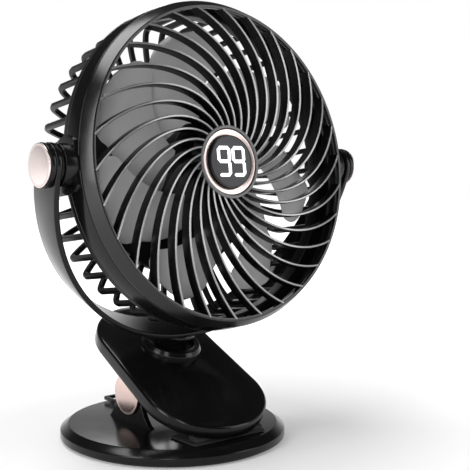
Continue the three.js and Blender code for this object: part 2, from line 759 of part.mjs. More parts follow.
function makeJawFrame() {
  const bottom = JAW_RIM_Z - JAW_RIM_H;
  const inset = JAW_WALL + GAP;
  const plate = loft([jawRing(inset, 1, bottom), jawRing(inset, 1, bottom + 1.8)]);
  const shape = new THREE.Shape();
  const root = bottom + 0.5;
  shape.moveTo(-LUG_ROOT, root);
  shape.quadraticCurveTo(-LUG_R - 1, LUG_R, -LUG_R, 0);
  shape.absarc(0, 0, LUG_R, Math.PI, 2 * Math.PI, false);
  shape.quadraticCurveTo(LUG_R + 1, LUG_R, LUG_ROOT, root);
  const lug = alongX(extrude(shape, LUG_OUTER - LUG_T, LUG_OUTER, 6));
  const bore = alongX(hole(PIN_R, LUG_OUTER - LUG_T - 1, LUG_OUTER + 1));
  const web = box(-LUG_OUTER + 1, LUG_OUTER - 1, -LUG_R - 4.5, -LUG_R - 2.5, LUG_R + 3, root);
  return cut(join(plate, bothSides(lug), web), bothSides(bore));
}

// A rubber wedge under the jaw's nose; its flat underside lies on the lower pad.
function makeUpperPad() {
  const z0 = BASE_TOP + LOWER_PAD_T + 2 * GAP;
  const pad = box(
    -UPPER_PAD_HALF_WIDTH,
    UPPER_PAD_HALF_WIDTH,
    -UPPER_PAD_FRONT,
    -UPPER_PAD_FRONT + UPPER_PAD_LENGTH,
    z0,
    HINGE_Z,
  );
  const inJaw = pad.translate([0, -HINGE_Y, -HINGE_Z]).rotate([-JAW_TILT, 0, 0]);
  const bottom = JAW_RIM_Z - JAW_RIM_H - GAP;
  const above = box(-JAW_FRONT, JAW_FRONT, -2 * JAW_FRONT, 0, bottom, bottom + 3 * JAW_FRONT);
  return cut(inJaw, above);
}

function makeSwivelCollar() {
  const bore = NECK_R + GAP;
  const body = revolve([
    [bore, -7],
    [COLLAR_R, -7],
    [COLLAR_R, 1.4],
    [COLLAR_TOP_R + 0.3, COLLAR_H - 0.5],
    [COLLAR_TOP_R, COLLAR_H],
    [COLLAR_RECESS_R, COLLAR_H],
    [COLLAR_RECESS_R, COLLAR_H - COLLAR_RECESS],
    [bore, COLLAR_H - COLLAR_RECESS],
  ], MIDDLE);
  const plate = crownedPlate(0, JAW_RIM_Z - 3 * JAW_RIM_H, -GAP);
  return cut(onSwivel(body), plate);
}

function addUpperJaw(group) {
  group.add(
    mesh('jaw_cover', makeJawCover(), glossBlack),
    mesh('jaw_frame', makeJawFrame(), satinBlack),
    mesh('upper_jaw_pad', makeUpperPad(), rubberBlack),
    mesh('swivel_collar', makeSwivelCollar(), glossBlack),
  );
}

// ---------------------------------------------------------------------------------------------
// Yoke, in its own frame: the pivot is the origin and the swivel axis is Z
// ---------------------------------------------------------------------------------------------
function makeYoke() {
  const shape = new THREE.Shape();
  shape.absarc(0, 0, YOKE_OUTER, Math.PI, 2 * Math.PI, false);
  shape.absarc(0, 0, YOKE_R, 2 * Math.PI, Math.PI, true);
  const geometry = new THREE.ExtrudeGeometry(shape, {
    depth: YOKE_WIDTH - 2 * YOKE_CHAMFER,
    bevelThickness: YOKE_CHAMFER,
    bevelSize: YOKE_CHAMFER,
    bevelOffset: -YOKE_CHAMFER,
    bevelSegments: 1,
    curveSegments: 18,
  });
  geometry.translate(0, 0, -YOKE_WIDTH / 2 + YOKE_CHAMFER).rotateX(Math.PI / 2);
  const eye = alongX(revolve([
    [0, YOKE_R],
    [YOKE_WIDTH / 2 - YOKE_CHAMFER, YOKE_R],
    [YOKE_WIDTH / 2, YOKE_R + YOKE_CHAMFER],
    [YOKE_WIDTH / 2, YOKE_OUTER - YOKE_CHAMFER],
    [YOKE_WIDTH / 2 - YOKE_CHAMFER, YOKE_OUTER],
    [0, YOKE_OUTER],
  ], SMALL)).trimByPlane([0, 0, 1], -BOLT_R);
  const seat = -YOKE_OUTER - NECK_LENGTH - COLLAR_H; // the plate's level on the swivel axis
  const neck = revolve([
    [0, -YOKE_R - YOKE_T / 2],
    [NECK_TOP_R, -YOKE_R - YOKE_T / 2],
    [NECK_TOP_R, -YOKE_OUTER - 0.6],
    [NECK_R + 1.4, -YOKE_OUTER - NECK_LENGTH * 0.55],
    [NECK_R, -YOKE_OUTER - NECK_LENGTH],
    [NECK_R, seat - JAW_WALL - 2],
    [0, seat - JAW_WALL - 2],
  ], SMALL);
  const boltHole = alongX(hole(BOLT_R, YOKE_R - 2, YOKE_OUTER + 2));
  const screwHole = hole(SWIVEL_SCREW_R, seat - JAW_WALL - 3, seat + 2);
  return cut(join(solid(geometry), bothSides(eye), neck), bothSides(boltHole), screwHole);
}

function makeSwivelScrew() {
  const top = -YOKE_OUTER - NECK_LENGTH - COLLAR_H - JAW_WALL - 2 - GAP;
  return join(
    disc(SWIVEL_WASHER_R, top - SWIVEL_WASHER_T, top, SMALL),
    disc(2 * SWIVEL_SCREW_R, top - SWIVEL_WASHER_T - 1.2, top - SWIVEL_WASHER_T, TINY),
    disc(SWIVEL_SCREW_R, top - SWIVEL_WASHER_T, top + 4, TINY),
  );
}

function makeTiltKnob() {
  const back = YOKE_OUTER + GAP;
  const knob = revolve([
    [BOLT_R + GAP, back],
    [BOSS_R, back],
    [BOSS_R + 0.2, back + 0.4],
    [BOSS_R + 0.2, back + KNOB_T],
    [BOLT_HEAD_R + GAP, back + KNOB_T],
    [BOLT_HEAD_R + GAP, back + KNOB_T - BOLT_HEAD_T - GAP],
    [BOLT_R + GAP, back + KNOB_T - BOLT_HEAD_T - GAP],
  ], SMALL);
  return alongX(knob);
}

function makeTiltBolt() {
  const headTop = YOKE_OUTER + GAP + KNOB_T;
  return alongX(join(
    disc(BOLT_HEAD_R, headTop - BOLT_HEAD_T, headTop, TINY),
    disc(BOLT_R, BOSS_FACE - BOLT_DEPTH, headTop - BOLT_HEAD_T, TINY),
  ));
}

function addYoke(group) {
  const knob = makeTiltKnob();
  const bolt = makeTiltBolt();
  const cap = alongX(capDisc(TILT_CAP_R, TILT_CAP_T)).translate([YOKE_OUTER + KNOB_T + 2 * GAP, 0, 0]);
  group.add(
    mesh('yoke', makeYoke(), glossBlack),
    mesh('swivel_screw', makeSwivelScrew(), steel),
    mesh('tilt_knob_left', mirrored(knob), glossBlack),
    mesh('tilt_knob_right', knob, glossBlack),
    mesh('tilt_bolt_left', mirrored(bolt), steel),
    mesh('tilt_bolt_right', bolt, steel),
    mesh('tilt_cap_left', mirrored(cap), roseGold),
    mesh('tilt_cap_right', cap, roseGold),
  );
}

// ---------------------------------------------------------------------------------------------
// Head
// ---------------------------------------------------------------------------------------------
function bossCylinder(radius, x0, x1, segments = SMALL) {
  return alongX(disc(radius, x0, x1, segments));
}

function makeFanBand() {
  const inner = BAND_FRONT_R - BAND_WALL;
  const band = revolve([
    [BAND_BACK_R - BAND_WALL, BAND_BACK],
    [BAND_BACK_R - 0.5, BAND_BACK],
    [BAND_BACK_R, BAND_BACK + 0.6],
    [BAND_FRONT_R, BAND_FRONT],
    [inner, BAND_FRONT],
  ], BROAD);
  const padRing = ring(BAND_BACK_R - BAND_WALL, BAND_BACK_R + 0.8, -BOSS_PAD_R, BAND_FRONT - 1, BROAD);
  const pad = padRing.intersect(bossCylinder(BOSS_PAD_R, BAND_BACK_R - 12, BAND_BACK_R + 4));
  const boss = bossCylinder(BOSS_R, BAND_FRONT_R + GAP, BOSS_FACE);
  const bolt = alongX(hole(BOLT_R, BOSS_FACE - BOLT_DEPTH - GAP, BOSS_FACE + 1));
  return cut(join(band, bothSides(pad), bothSides(boss)), bothSides(bolt));
}

function spokeAngle(radius) {
  const share = radius / SPOKE_END_R;
  return SPOKE_PHASE + SWIRL_LINEAR * (share - 1) + SWIRL_LOG * Math.log(share);
}

function domeHeight(radius) {
  const share = THREE.MathUtils.clamp((radius - CUP_R) / (SPOKE_END_R - CUP_R), 0, 1);
  return RIM_FACE + DOME_RISE * Math.sin(Math.PI * share) ** DOME_POWER;
}

// The swirl grille: each spoke is a deep, narrow fin that sweeps round from the cup to the rim.
function makeFrontGrille() {
  const rim = revolve([
    [BAND_FRONT_R, BAND_FRONT + GAP],
    [BAND_FRONT_R - 0.5, RIM_FACE - RIM_SHOULDER],
    [BAND_FRONT_R - 1.5, RIM_FACE - RIM_EDGE],
    [RIM_INNER_R + RIM_FACE_WIDTH, RIM_FACE],
    [RIM_INNER_R, RIM_FACE],
    [RIM_INNER_R, RIM_FACE - RIM_LIP],
    [BAND_FRONT_R - BAND_WALL, BAND_FRONT + GAP],
  ], BROAD);
  const cup = revolve([
    [0, CUP_BACK],
    [CUP_R, CUP_BACK],
    [CUP_R, CUP_FRONT - 0.5],
    [CUP_R - 0.5, CUP_FRONT],
    [CUP_R - CUP_WALL, CUP_FRONT],
    [CUP_R - CUP_WALL, CUP_BACK + CUP_FLOOR_T],
    [0, CUP_BACK + CUP_FLOOR_T],
  ], MIDDLE);
  const segments = 6;
  const [start, end] = [CUP_R - 0.8, SPOKE_END_R + 0.2];
  const stations = range(segments + 1).map((k) => {
    const radius = start * (end / start) ** (k / segments);
    const angle = spokeAngle(radius);
    return {
      outer: polar(radius, angle, domeHeight(radius) - 0.1),
      inner: polar(radius, angle, domeHeight(radius) - SPOKE_DEPTH),
    };
  });
  const spoke = bar(stations, SPOKE_WIDTH);
  return join(rim, cup, ...around(spoke, SPOKES));
}

// One bar of the rear cage: back from the ring, round the corner and in to the hub.
function rearBar() {
  const cornerStart = -CAGE_BACK + CAGE_CORNER;
  const hubEdge = HUB_R - 1.5;
  const flat = CAGE_R - CAGE_CORNER;
  const depth = REAR_BAR_DEPTH;
  const profile = [
    { r: BAND_BACK_R - 0.6, z: -REAR_RING_BACK + 1.2, inR: depth, inZ: 0 },
    { r: CAGE_R, z: cornerStart, inR: depth, inZ: 0 },
    { r: CAGE_R - 0.3 * CAGE_CORNER, z: -CAGE_BACK + 0.3 * CAGE_CORNER, inR: 0.8 * depth, inZ: 0.8 * depth },
    { r: flat, z: -CAGE_BACK, inR: 0, inZ: depth },
    ...[0.5, 1].map((share) => ({
      r: THREE.MathUtils.lerp(flat, hubEdge, share),
      z: -THREE.MathUtils.lerp(CAGE_BACK, CAGE_HUB_BACK, share),
      inR: 0,
      inZ: depth,
    })),
  ];
  const stations = profile.map(({ r, z, inR, inZ }) => {
    const share = THREE.MathUtils.clamp((flat - r) / (flat - hubEdge), 0, 1);
    const angle = REAR_SWIRL * share;
    return { outer: polar(r, angle, z), inner: polar(r - inR, angle, z + inZ) };
  });
  return bar(stations, REAR_BAR_WIDTH);
}

function makeRearGrille() {
  const ringBody = ring(
    BAND_BACK_R - BAND_WALL,
    BAND_BACK_R - 0.3,
    -REAR_RING_BACK,
    BAND_BACK - GAP,
    BROAD,
  );
  const floorBack = HUB_FLOOR_FRONT + HUB_FLOOR_T;
  const floor = disc(HUB_R, -floorBack, -HUB_FLOOR_FRONT, BROAD);
  const wall = ring(HUB_R - HUB_WALL, HUB_R, -CAGE_HUB_BACK, -HUB_FLOOR_FRONT, BROAD);
  const tube = disc(TUBE_R, -HUB_FLOOR_FRONT - 0.5, -TUBE_FRONT, SMALL);
  const tubeBore = hole(BEARING_R, -HUB_FLOOR_FRONT - 1, -TUBE_FRONT + 1, SMALL);
  const post = disc(POST_R, -floorBack - BOARD_POST, -floorBack + 0.5, 12)
    .translate([CONTROL_BOARD_R - 6, 0, 0]);
  const notch = bossCylinder(BOSS_PAD_R + GAP, BAND_BACK_R - 12, BAND_BACK_R + 5);
  const bars = around(rearBar().rotate([0, 0, 180 / REAR_BARS]), REAR_BARS);
  const body = join(ringBody, floor, wall, tube, ...around(post, 3), ...bars);
  return cut(body, tubeBore, bothSides(notch));
}

function makeRearHubCover() {
  const seat = CAGE_HUB_BACK + GAP;
  const inner = HUB_R - HUB_WALL + 1;
  return revolve([
    [HUB_R - 0.2, -seat],
    [HUB_R - 0.6, -seat - COVER_BULGE * 0.45],
    [HUB_R - 5, -seat - COVER_BULGE * 0.85],
    [BUTTON_R + GAP, -seat - COVER_BULGE],
    [BUTTON_R + GAP, -seat - COVER_BULGE + COVER_WALL],
    [HUB_R - 6, -seat - COVER_BULGE * 0.85 + COVER_WALL],
    [inner, -seat],
  ], MIDDLE);
}

function makePowerButton() {
  const seat = CAGE_HUB_BACK + GAP;
  const outside = seat + COVER_BULGE;
  const flangeBack = outside - COVER_WALL - GAP;
  const board = HUB_FLOOR_FRONT + HUB_FLOOR_T + BOARD_POST + GAP + BOARD_T;
  return revolve([
    [0, -outside - BUTTON_PROUD],
    [BUTTON_R - 1.0, -outside - BUTTON_PROUD],
    [BUTTON_R, -outside - BUTTON_PROUD + 0.8],
    [BUTTON_R, -flangeBack],
    [BUTTON_R + BUTTON_FLANGE, -flangeBack],
    [BUTTON_R + BUTTON_FLANGE, -flangeBack + 1.0],
    [2.2, -flangeBack + 1.0],
    [2.2, -board - BUTTON_TRAVEL - GAP],
    [0, -board - BUTTON_TRAVEL - GAP],
  ], SMALL);
}

function makeStator() {
  const shape = new THREE.Shape();
  const neck = 0.22;
  const shoe = 0.42;
  const root = 11;
  const corners = range(STATOR_TEETH).flatMap((k) => {
    const mid = (360 * k) / STATOR_TEETH;
    const half = 180 / STATOR_TEETH;
    return [
      polar(root, mid - half, 0),
      polar(root + 0.5, mid - neck * 2 * half, 0),
      polar(STATOR_R - 2.4, mid - neck * half, 0),
      polar(STATOR_R - 1.4, mid - 2 * shoe * half, 0),
      polar(STATOR_R, mid - 2 * shoe * half, 0),
      polar(STATOR_R, mid, 0),
      polar(STATOR_R, mid + 2 * shoe * half, 0),
      polar(STATOR_R - 1.4, mid + 2 * shoe * half, 0),
      polar(STATOR_R - 2.4, mid + neck * half, 0),
      polar(root + 0.5, mid + neck * 2 * half, 0),
    ];
  });
  shape.setFromPoints(corners.map((p) => new THREE.Vector2(p.x, p.y)));
  const bore = hole(TUBE_R, -STATOR_BACK - 1, -STATOR_FRONT + 1, SMALL);
  return cut(extrude(shape, -STATOR_BACK, -STATOR_FRONT), bore);
}

function makeBearing(back) {
  return ring(SHAFT_R + GAP, BEARING_R, -back, -back + BEARING_T, SMALL);
}

function makeBezel() {
  const outer = CUP_R - CUP_WALL - GAP;
  return revolve([
    [BEZEL_INNER_R + 0.4, CUP_BACK + DISPLAY_BACK],
    [outer, CUP_BACK + DISPLAY_BACK],
    [outer, BEZEL_FRONT - 0.6],
    [outer - 0.6, BEZEL_FRONT],
    [BEZEL_INNER_R + 0.4, BEZEL_FRONT],
  ], MIDDLE);
}

function makeTiltWasher() {
  const start = BOSS_FACE + GAP;
  return alongX(ring(BOLT_R + GAP, TILT_WASHER_R, start, start + TILT_WASHER_T, SMALL));
}

function addHead(group) {
  const floorBack = HUB_FLOOR_FRONT + HUB_FLOOR_T;
  const boardFront = floorBack + BOARD_POST + GAP;
  const boardBack = CUP_BACK + DISPLAY_BOARD_BACK;
  const washer = makeTiltWasher();
  group.add(
    mesh('fan_band', makeFanBand(), glossBlack),
    mesh('front_grille', makeFrontGrille(), spokeBlack),
    mesh('rear_grille', makeRearGrille(), satinBlack),
    mesh('rear_hub_cover', makeRearHubCover(), satinBlack),
    mesh('control_board', disc(CONTROL_BOARD_R, -boardFront - BOARD_T, -boardFront), boardGreen),
    mesh('motor_stator', makeStator(), copper),
    mesh('bearing_front', makeBearing(TUBE_FRONT + BEARING_T + GAP), steel),
    mesh('bearing_rear', makeBearing(HUB_FLOOR_FRONT + 1 - GAP), steel),
    mesh('display_board', disc(CUP_R - CUP_WALL - GAP, boardBack, boardBack + BOARD_T), boardGreen),
    mesh('display_lens', disc(BEZEL_INNER_R, CUP_BACK + DISPLAY_BACK, LENS_FRONT), lensBlack),
    mesh('display_bezel', makeBezel(), roseGold),
    mesh('tilt_washer_left', mirrored(washer), satinBlack),
    mesh('tilt_washer_right', washer, satinBlack),
    mesh('power_button', makePowerButton(), satinBlack),
  );
}

// ---------------------------------------------------------------------------------------------
// Impeller, in the head's frame
// ---------------------------------------------------------------------------------------------
// Angles of a blade's edges: swept forward up to the shoulder, and rounded off at the tip.
function bladeSpan(radius) {
  const share = (radius - FAN_HUB_R) / (BLADE_TIP_R - FAN_HUB_R);
  const sweep = BLADE_SWEEP * Math.max(0, 1 - share / BLADE_SHOULDER);
  const past = Math.max(0, (share - BLADE_SHOULDER) / (1 - BLADE_SHOULDER));
  return {
    lead: sweep - BLADE_LEAD_SPAN + BLADE_LEAD_CUT * past ** BLADE_LEAD_ROUND,
    trail: sweep + BLADE_TRAIL_SPAN - BLADE_TRAIL_CUT * past ** BLADE_TRAIL_ROUND,
  };
}

function makeBlade() {
  const rows = 7;
  const columns = 4;
  const crowding = 1.5; // closer rows near the rounded tip
  const root = FAN_HUB_R - 1;
  const surface = (lift) => range(rows).map((i) => {
    const along = 1 - (1 - i / (rows - 1)) ** crowding;
    const radius = THREE.MathUtils.lerp(root, BLADE_TIP_R, along);
    const { lead, trail } = bladeSpan(radius);
    const pitch = root / radius + 0.35 * (1 - root / radius);
    return range(columns).map((j) => {
      const share = j / (columns - 1);
      const slope = THREE.MathUtils.lerp(BLADE_LEAD, -BLADE_TRAIL, share);
      const camber = BLADE_CAMBER * Math.sin(Math.PI * share);
      const middle = (BLADE_LEAD - BLADE_TRAIL) / 2;
      const z = middle + (slope - middle) * pitch + camber + lift;
      return polar(radius, THREE.MathUtils.lerp(lead, trail, share), z);
    });
  });
  return gridBody(surface(BLADE_T / 2), surface(-BLADE_T / 2));
}

function makeImpeller() {
  const inner = FAN_HUB_R - FAN_HUB_WALL;
  const hub = revolve([
    [0, FAN_HUB_FRONT],
    [FAN_HUB_R - 3, FAN_HUB_FRONT],
    [FAN_HUB_R, FAN_HUB_FRONT - 3],
    [FAN_HUB_R, -FAN_HUB_BACK],
    [inner, -FAN_HUB_BACK],
    [inner, FAN_HUB_FRONT - 4],
    [inner - 2, FAN_HUB_FRONT - 2.4],
    [4, FAN_HUB_FRONT - 2.4],
    [4, -TUBE_FRONT + 1],
    [0, -TUBE_FRONT + 1],
  ], MIDDLE);
  const bore = hole(SHAFT_R, -TUBE_FRONT - 1, FAN_HUB_FRONT - 2);
  const blades = around(makeBlade().rotate([0, 0, BLADE_TURN]), BLADES);
  const hollow = disc(inner, -FAN_HUB_BACK - 6, -TUBE_FRONT - 0.6, MIDDLE);
  return cut(join(hub, ...blades.map((blade) => cut(blade, hollow))), bore);
}

function addImpeller(group) {
  const rotor = ring(ROTOR_R - ROTOR_T, ROTOR_R, -FAN_HUB_BACK + 0.5, FAN_HUB_FRONT - 5);
  group.add(
    mesh('impeller', makeImpeller(), fanGrey),
    mesh('rotor_ring', rotor, steel),
    mesh('fan_shaft', disc(SHAFT_R, -HUB_FLOOR_FRONT - 0.4, FAN_HUB_FRONT - 2.4, TINY), steel),
  );
}

// ---------------------------------------------------------------------------------------------
// The whole fan
// ---------------------------------------------------------------------------------------------
const fan = new THREE.Group();

const base = new THREE.Group();
addBase(base);
addBail(base);

const upperJaw = new THREE.Group();
upperJaw.position.set(0, HINGE_Y, HINGE_Z);
upperJaw.rotation.x = THREE.MathUtils.degToRad(JAW_TILT);
addUpperJaw(upperJaw);

// The pivot stands over the swivel's seat, along the leaning swivel axis.
const lean = THREE.MathUtils.degToRad(SWIVEL_LEAN);
const pivot = jawPoint(SWIVEL_Y, swivelSeat());
pivot.y -= SWIVEL_ARM * Math.sin(lean);
pivot.z += SWIVEL_ARM * Math.cos(lean);

const yoke = new THREE.Group();
yoke.position.copy(pivot);
yoke.rotation.x = lean;
addYoke(yoke);

const head = new THREE.Group();
head.position.copy(pivot);
head.rotation.x = THREE.MathUtils.degToRad(90 - HEAD_TILT);
addHead(head);
addImpeller(head);

fan.add(base, upperJaw, yoke, head);

export default fan;
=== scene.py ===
"""The looks of a rechargeable clip fan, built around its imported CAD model.

Each sub-assembly is written in millimetres in a frame of its own: the base stands on the table, the jaw
turns about its hinge, and the yoke and the head turn about the head's tilt pivot. A place matrix brings
each mesh into the model's frame in metres.
"""

import json
import logging
import math
from collections.abc import Sequence
from dataclasses import dataclass
from enum import Enum
from functools import cache

import bmesh
import bpy
from mathutils import Matrix, Vector


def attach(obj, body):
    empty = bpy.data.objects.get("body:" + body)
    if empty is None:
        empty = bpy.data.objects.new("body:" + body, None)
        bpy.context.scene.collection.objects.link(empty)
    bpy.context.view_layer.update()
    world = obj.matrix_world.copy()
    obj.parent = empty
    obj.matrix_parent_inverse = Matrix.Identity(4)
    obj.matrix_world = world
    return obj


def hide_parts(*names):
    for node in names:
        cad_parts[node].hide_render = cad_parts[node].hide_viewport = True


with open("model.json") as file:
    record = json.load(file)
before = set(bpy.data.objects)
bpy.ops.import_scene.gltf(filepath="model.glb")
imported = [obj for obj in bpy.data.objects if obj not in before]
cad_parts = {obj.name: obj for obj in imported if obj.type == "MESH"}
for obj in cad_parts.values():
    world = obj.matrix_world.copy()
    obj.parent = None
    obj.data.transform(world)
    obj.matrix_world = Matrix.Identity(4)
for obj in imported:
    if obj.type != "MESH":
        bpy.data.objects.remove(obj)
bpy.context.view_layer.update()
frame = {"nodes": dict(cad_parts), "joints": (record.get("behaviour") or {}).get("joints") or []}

LOG = logging.getLogger("clip_fan")
MM = 0.001
Point2 = tuple[float, float]
Color = tuple[float, float, float]
Material = bpy.types.Material
Socket = bpy.types.NodeSocket

HEAD_STEPS = 256  # steps round the head and the base
HUB_STEPS = 144  # steps round the hub, the collar and the display
KNOB_STEPS = 72  # steps round knobs, caps and bosses
PIN_STEPS = 40  # steps round the hinge pin, twice as many as round a screw
SEAT = 0.3  # the gap in millimetres between a piece and what carries it
CRISP = 35.0  # the sharp-edge angle in degrees of bevelled pieces and small flat ones
# The fins' material paints a pale highlight where this attribute is 1.
FRONT_EDGE = "front_edge"  # the attribute that is 1 on a fin's front edge and 0 on its sides


class Body(Enum):
    """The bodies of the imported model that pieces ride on."""

    BASE = "base"
    BAIL = "bail"
    JAW = "upper_jaw"
    YOKE = "yoke"
    HEAD = "head"
    IMPELLER = "impeller"
    BUTTON = "button"


class Slot(Enum):
    """The record's material slots that the pieces are listed under."""

    GLOSS_BLACK = "gloss_black"
    SATIN_BLACK = "satin_black"
    SPOKE_BLACK = "spoke_black"
    FAN_GREY = "fan_grey"
    ROSE_GOLD = "rose_gold"
    RUBBER = "rubber_black"
    LENS = "lens_black"
    STEEL = "steel"


# ---- Places ----
def joint(name: str) -> dict:
    """The frame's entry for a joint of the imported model."""
    return next(entry for entry in frame["joints"] if entry["name"] == name)


def facing(x_axis: Vector, y_axis: Vector, z_axis: Vector) -> Matrix:
    """The turn that takes X, Y and Z to three directions."""
    return Matrix((x_axis, y_axis, z_axis)).transposed().to_4x4()


def place_at(origin: Sequence[float], up: Sequence[float]) -> Matrix:
    """Makes the matrix from millimetres in a local frame to metres in the model's frame.

    Args:
        origin: The local origin in the model's frame, in metres.
        up: The direction of the local Z axis. The local X axis is the model's own.

    Returns:
        The place matrix.
    """
    x_axis = Vector((1, 0, 0))
    z_axis = Vector(up).normalized()
    turn = facing(x_axis, z_axis.cross(x_axis), z_axis)
    return Matrix.Translation(Vector(origin)) @ turn @ Matrix.Scale(MM, 4)


JAW_TILT = math.radians(26)
PIVOT = joint("head_tilt")["pos_m"]
BASE_PLACE = Matrix.Scale(MM, 4)
JAW_PLACE = place_at(joint("jaw_hinge")["pos_m"], (0, -math.sin(JAW_TILT), math.cos(JAW_TILT)))
YOKE_PLACE = place_at(PIVOT, joint("yoke_swivel")["axis"])
HEAD_PLACE = place_at(PIVOT, joint("fan_spin")["axis"])

# Lays what was made along Z along X, its x and y becoming y and z.
ALONG_X = Matrix(((0, 0, 1, 0), (1, 0, 0, 0), (0, 1, 0, 0), (0, 0, 0, 1)))
SIDES = {"right": Matrix(), "left": Matrix.Scale(-1, 4, (1, 0, 0))}


# ---- Outlines ----
def stepped(across: Sequence[float], heights: Sequence[float]) -> list[Point2]:
    """The corners of a stepped outline, which runs across at one height and then on to the next.

    Args:
        across: The places that it starts from at each height. It ends at the first of them.
        heights: The heights that it runs across at.

    Returns:
        The outline's points in order, those of a rectangle for two places and two heights.
    """
    ends = [*across[1:], across[0]]
    return [(x, z) for start, end, z in zip(across, ends, heights) for x in (start, end)]


def curve(start: Point2, control: Point2, end: Point2, steps: int = 12) -> list[Point2]:
    """Points along a quadratic curve, both ends among them.

    Args:
        start: The first point.
        control: The point that the curve bends towards.
        end: The last point.
        steps: Segments in the curve.

    Returns:
        The points in order.
    """
    a, b, c = Vector(start), Vector(control), Vector(end)
    shares = [step / steps for step in range(steps + 1)]
    return [tuple(a * (1 - t) ** 2 + b * 2 * t * (1 - t) + c * t**2) for t in shares]


def arc(center: Point2, radii: Point2, start: float, end: float, steps: int) -> list[Point2]:
    """Points along an arc of an ellipse, both ends among them.

    Args:
        center: The middle of the ellipse.
        radii: Its two half axes.
        start: The first angle in degrees.
        end: The last angle in degrees.
        steps: Segments in the arc.

    Returns:
        The points in order.
    """
    turns = [math.radians(start + (end - start) * step / steps) for step in range(steps + 1)]
    return [(center[0] + radii[0] * math.cos(t), center[1] + radii[1] * math.sin(t)) for t in turns]


def is_loop(profile: Sequence[Point2]) -> bool:
    """False for a profile that starts and ends on the axis, and True for one that closes on itself."""
    return not (profile[0][0] == 0 and profile[-1][0] == 0)


def rounded(profile: Sequence[Point2], radius: float, steps: int = 3) -> list[Point2]:
    """Rounds the corners of a profile, apart from those on the axis.

    Args:
        profile: Points of radius and height, in order.
        radius: The most that a corner is rounded by.
        steps: Segments in each rounded corner.

    Returns:
        The profile with its corners rounded.
    """
    points = [Vector(point) for point in profile]
    most = 0.45  # the share of a side that one of its corners may take
    result: list[Point2] = []
    for index, corner in enumerate(points):
        if corner.x == 0 or (index in (0, len(points) - 1) and not is_loop(profile)):
            result.append(tuple(corner))
            continue
        before = points[index - 1] - corner
        after = points[(index + 1) % len(points)] - corner
        reach = min(radius, before.length * most, after.length * most)
        start = corner + before.normalized() * reach
        end = corner + after.normalized() * reach
        result += curve(start, corner, end, steps)
    return result


def slot_outline(half_width: float, half_height: float) -> list[Point2]:
    """The outline of a long hole with round ends, about its middle.

    Args:
        half_width: Half its length.
        half_height: Half its height, which its ends are rounded by.

    Returns:
        The outline's points in order.
    """
    reach = half_width - half_height
    ends = ((reach, -90), (-reach, 90))
    return [point for x, at in ends for point in arc((x, 0), (half_height, half_height), at, at + 180, 10)]


def cap_profile(radius: float, thickness: float, dome: float, back: float) -> list[Point2]:
    """The profile of a domed cap with a fine raised rim.

    Args:
        radius: The cap's radius.
        thickness: Its thickness at the edge.
        dome: How far its middle stands over the edge.
        back: The height of its flat back.

    Returns:
        The profile from the back's middle to the front's.
    """
    face = back + thickness
    edge = rounded([(0, back), (radius, back), (radius, face), (radius - 0.9, face), (0, face)], 0.3)[:-1]
    shares = [step / 10 for step in range(9, -1, -1)]
    return edge + [((radius - 1.0) * share, face + dome * (1 - share * share)) for share in shares]


def polar(radius: float, degrees: float, height: float) -> Vector:
    """The point at a radius, an angle and a height about the Z axis."""
    turn = math.radians(degrees)
    return Vector((radius * math.cos(turn), radius * math.sin(turn), height))


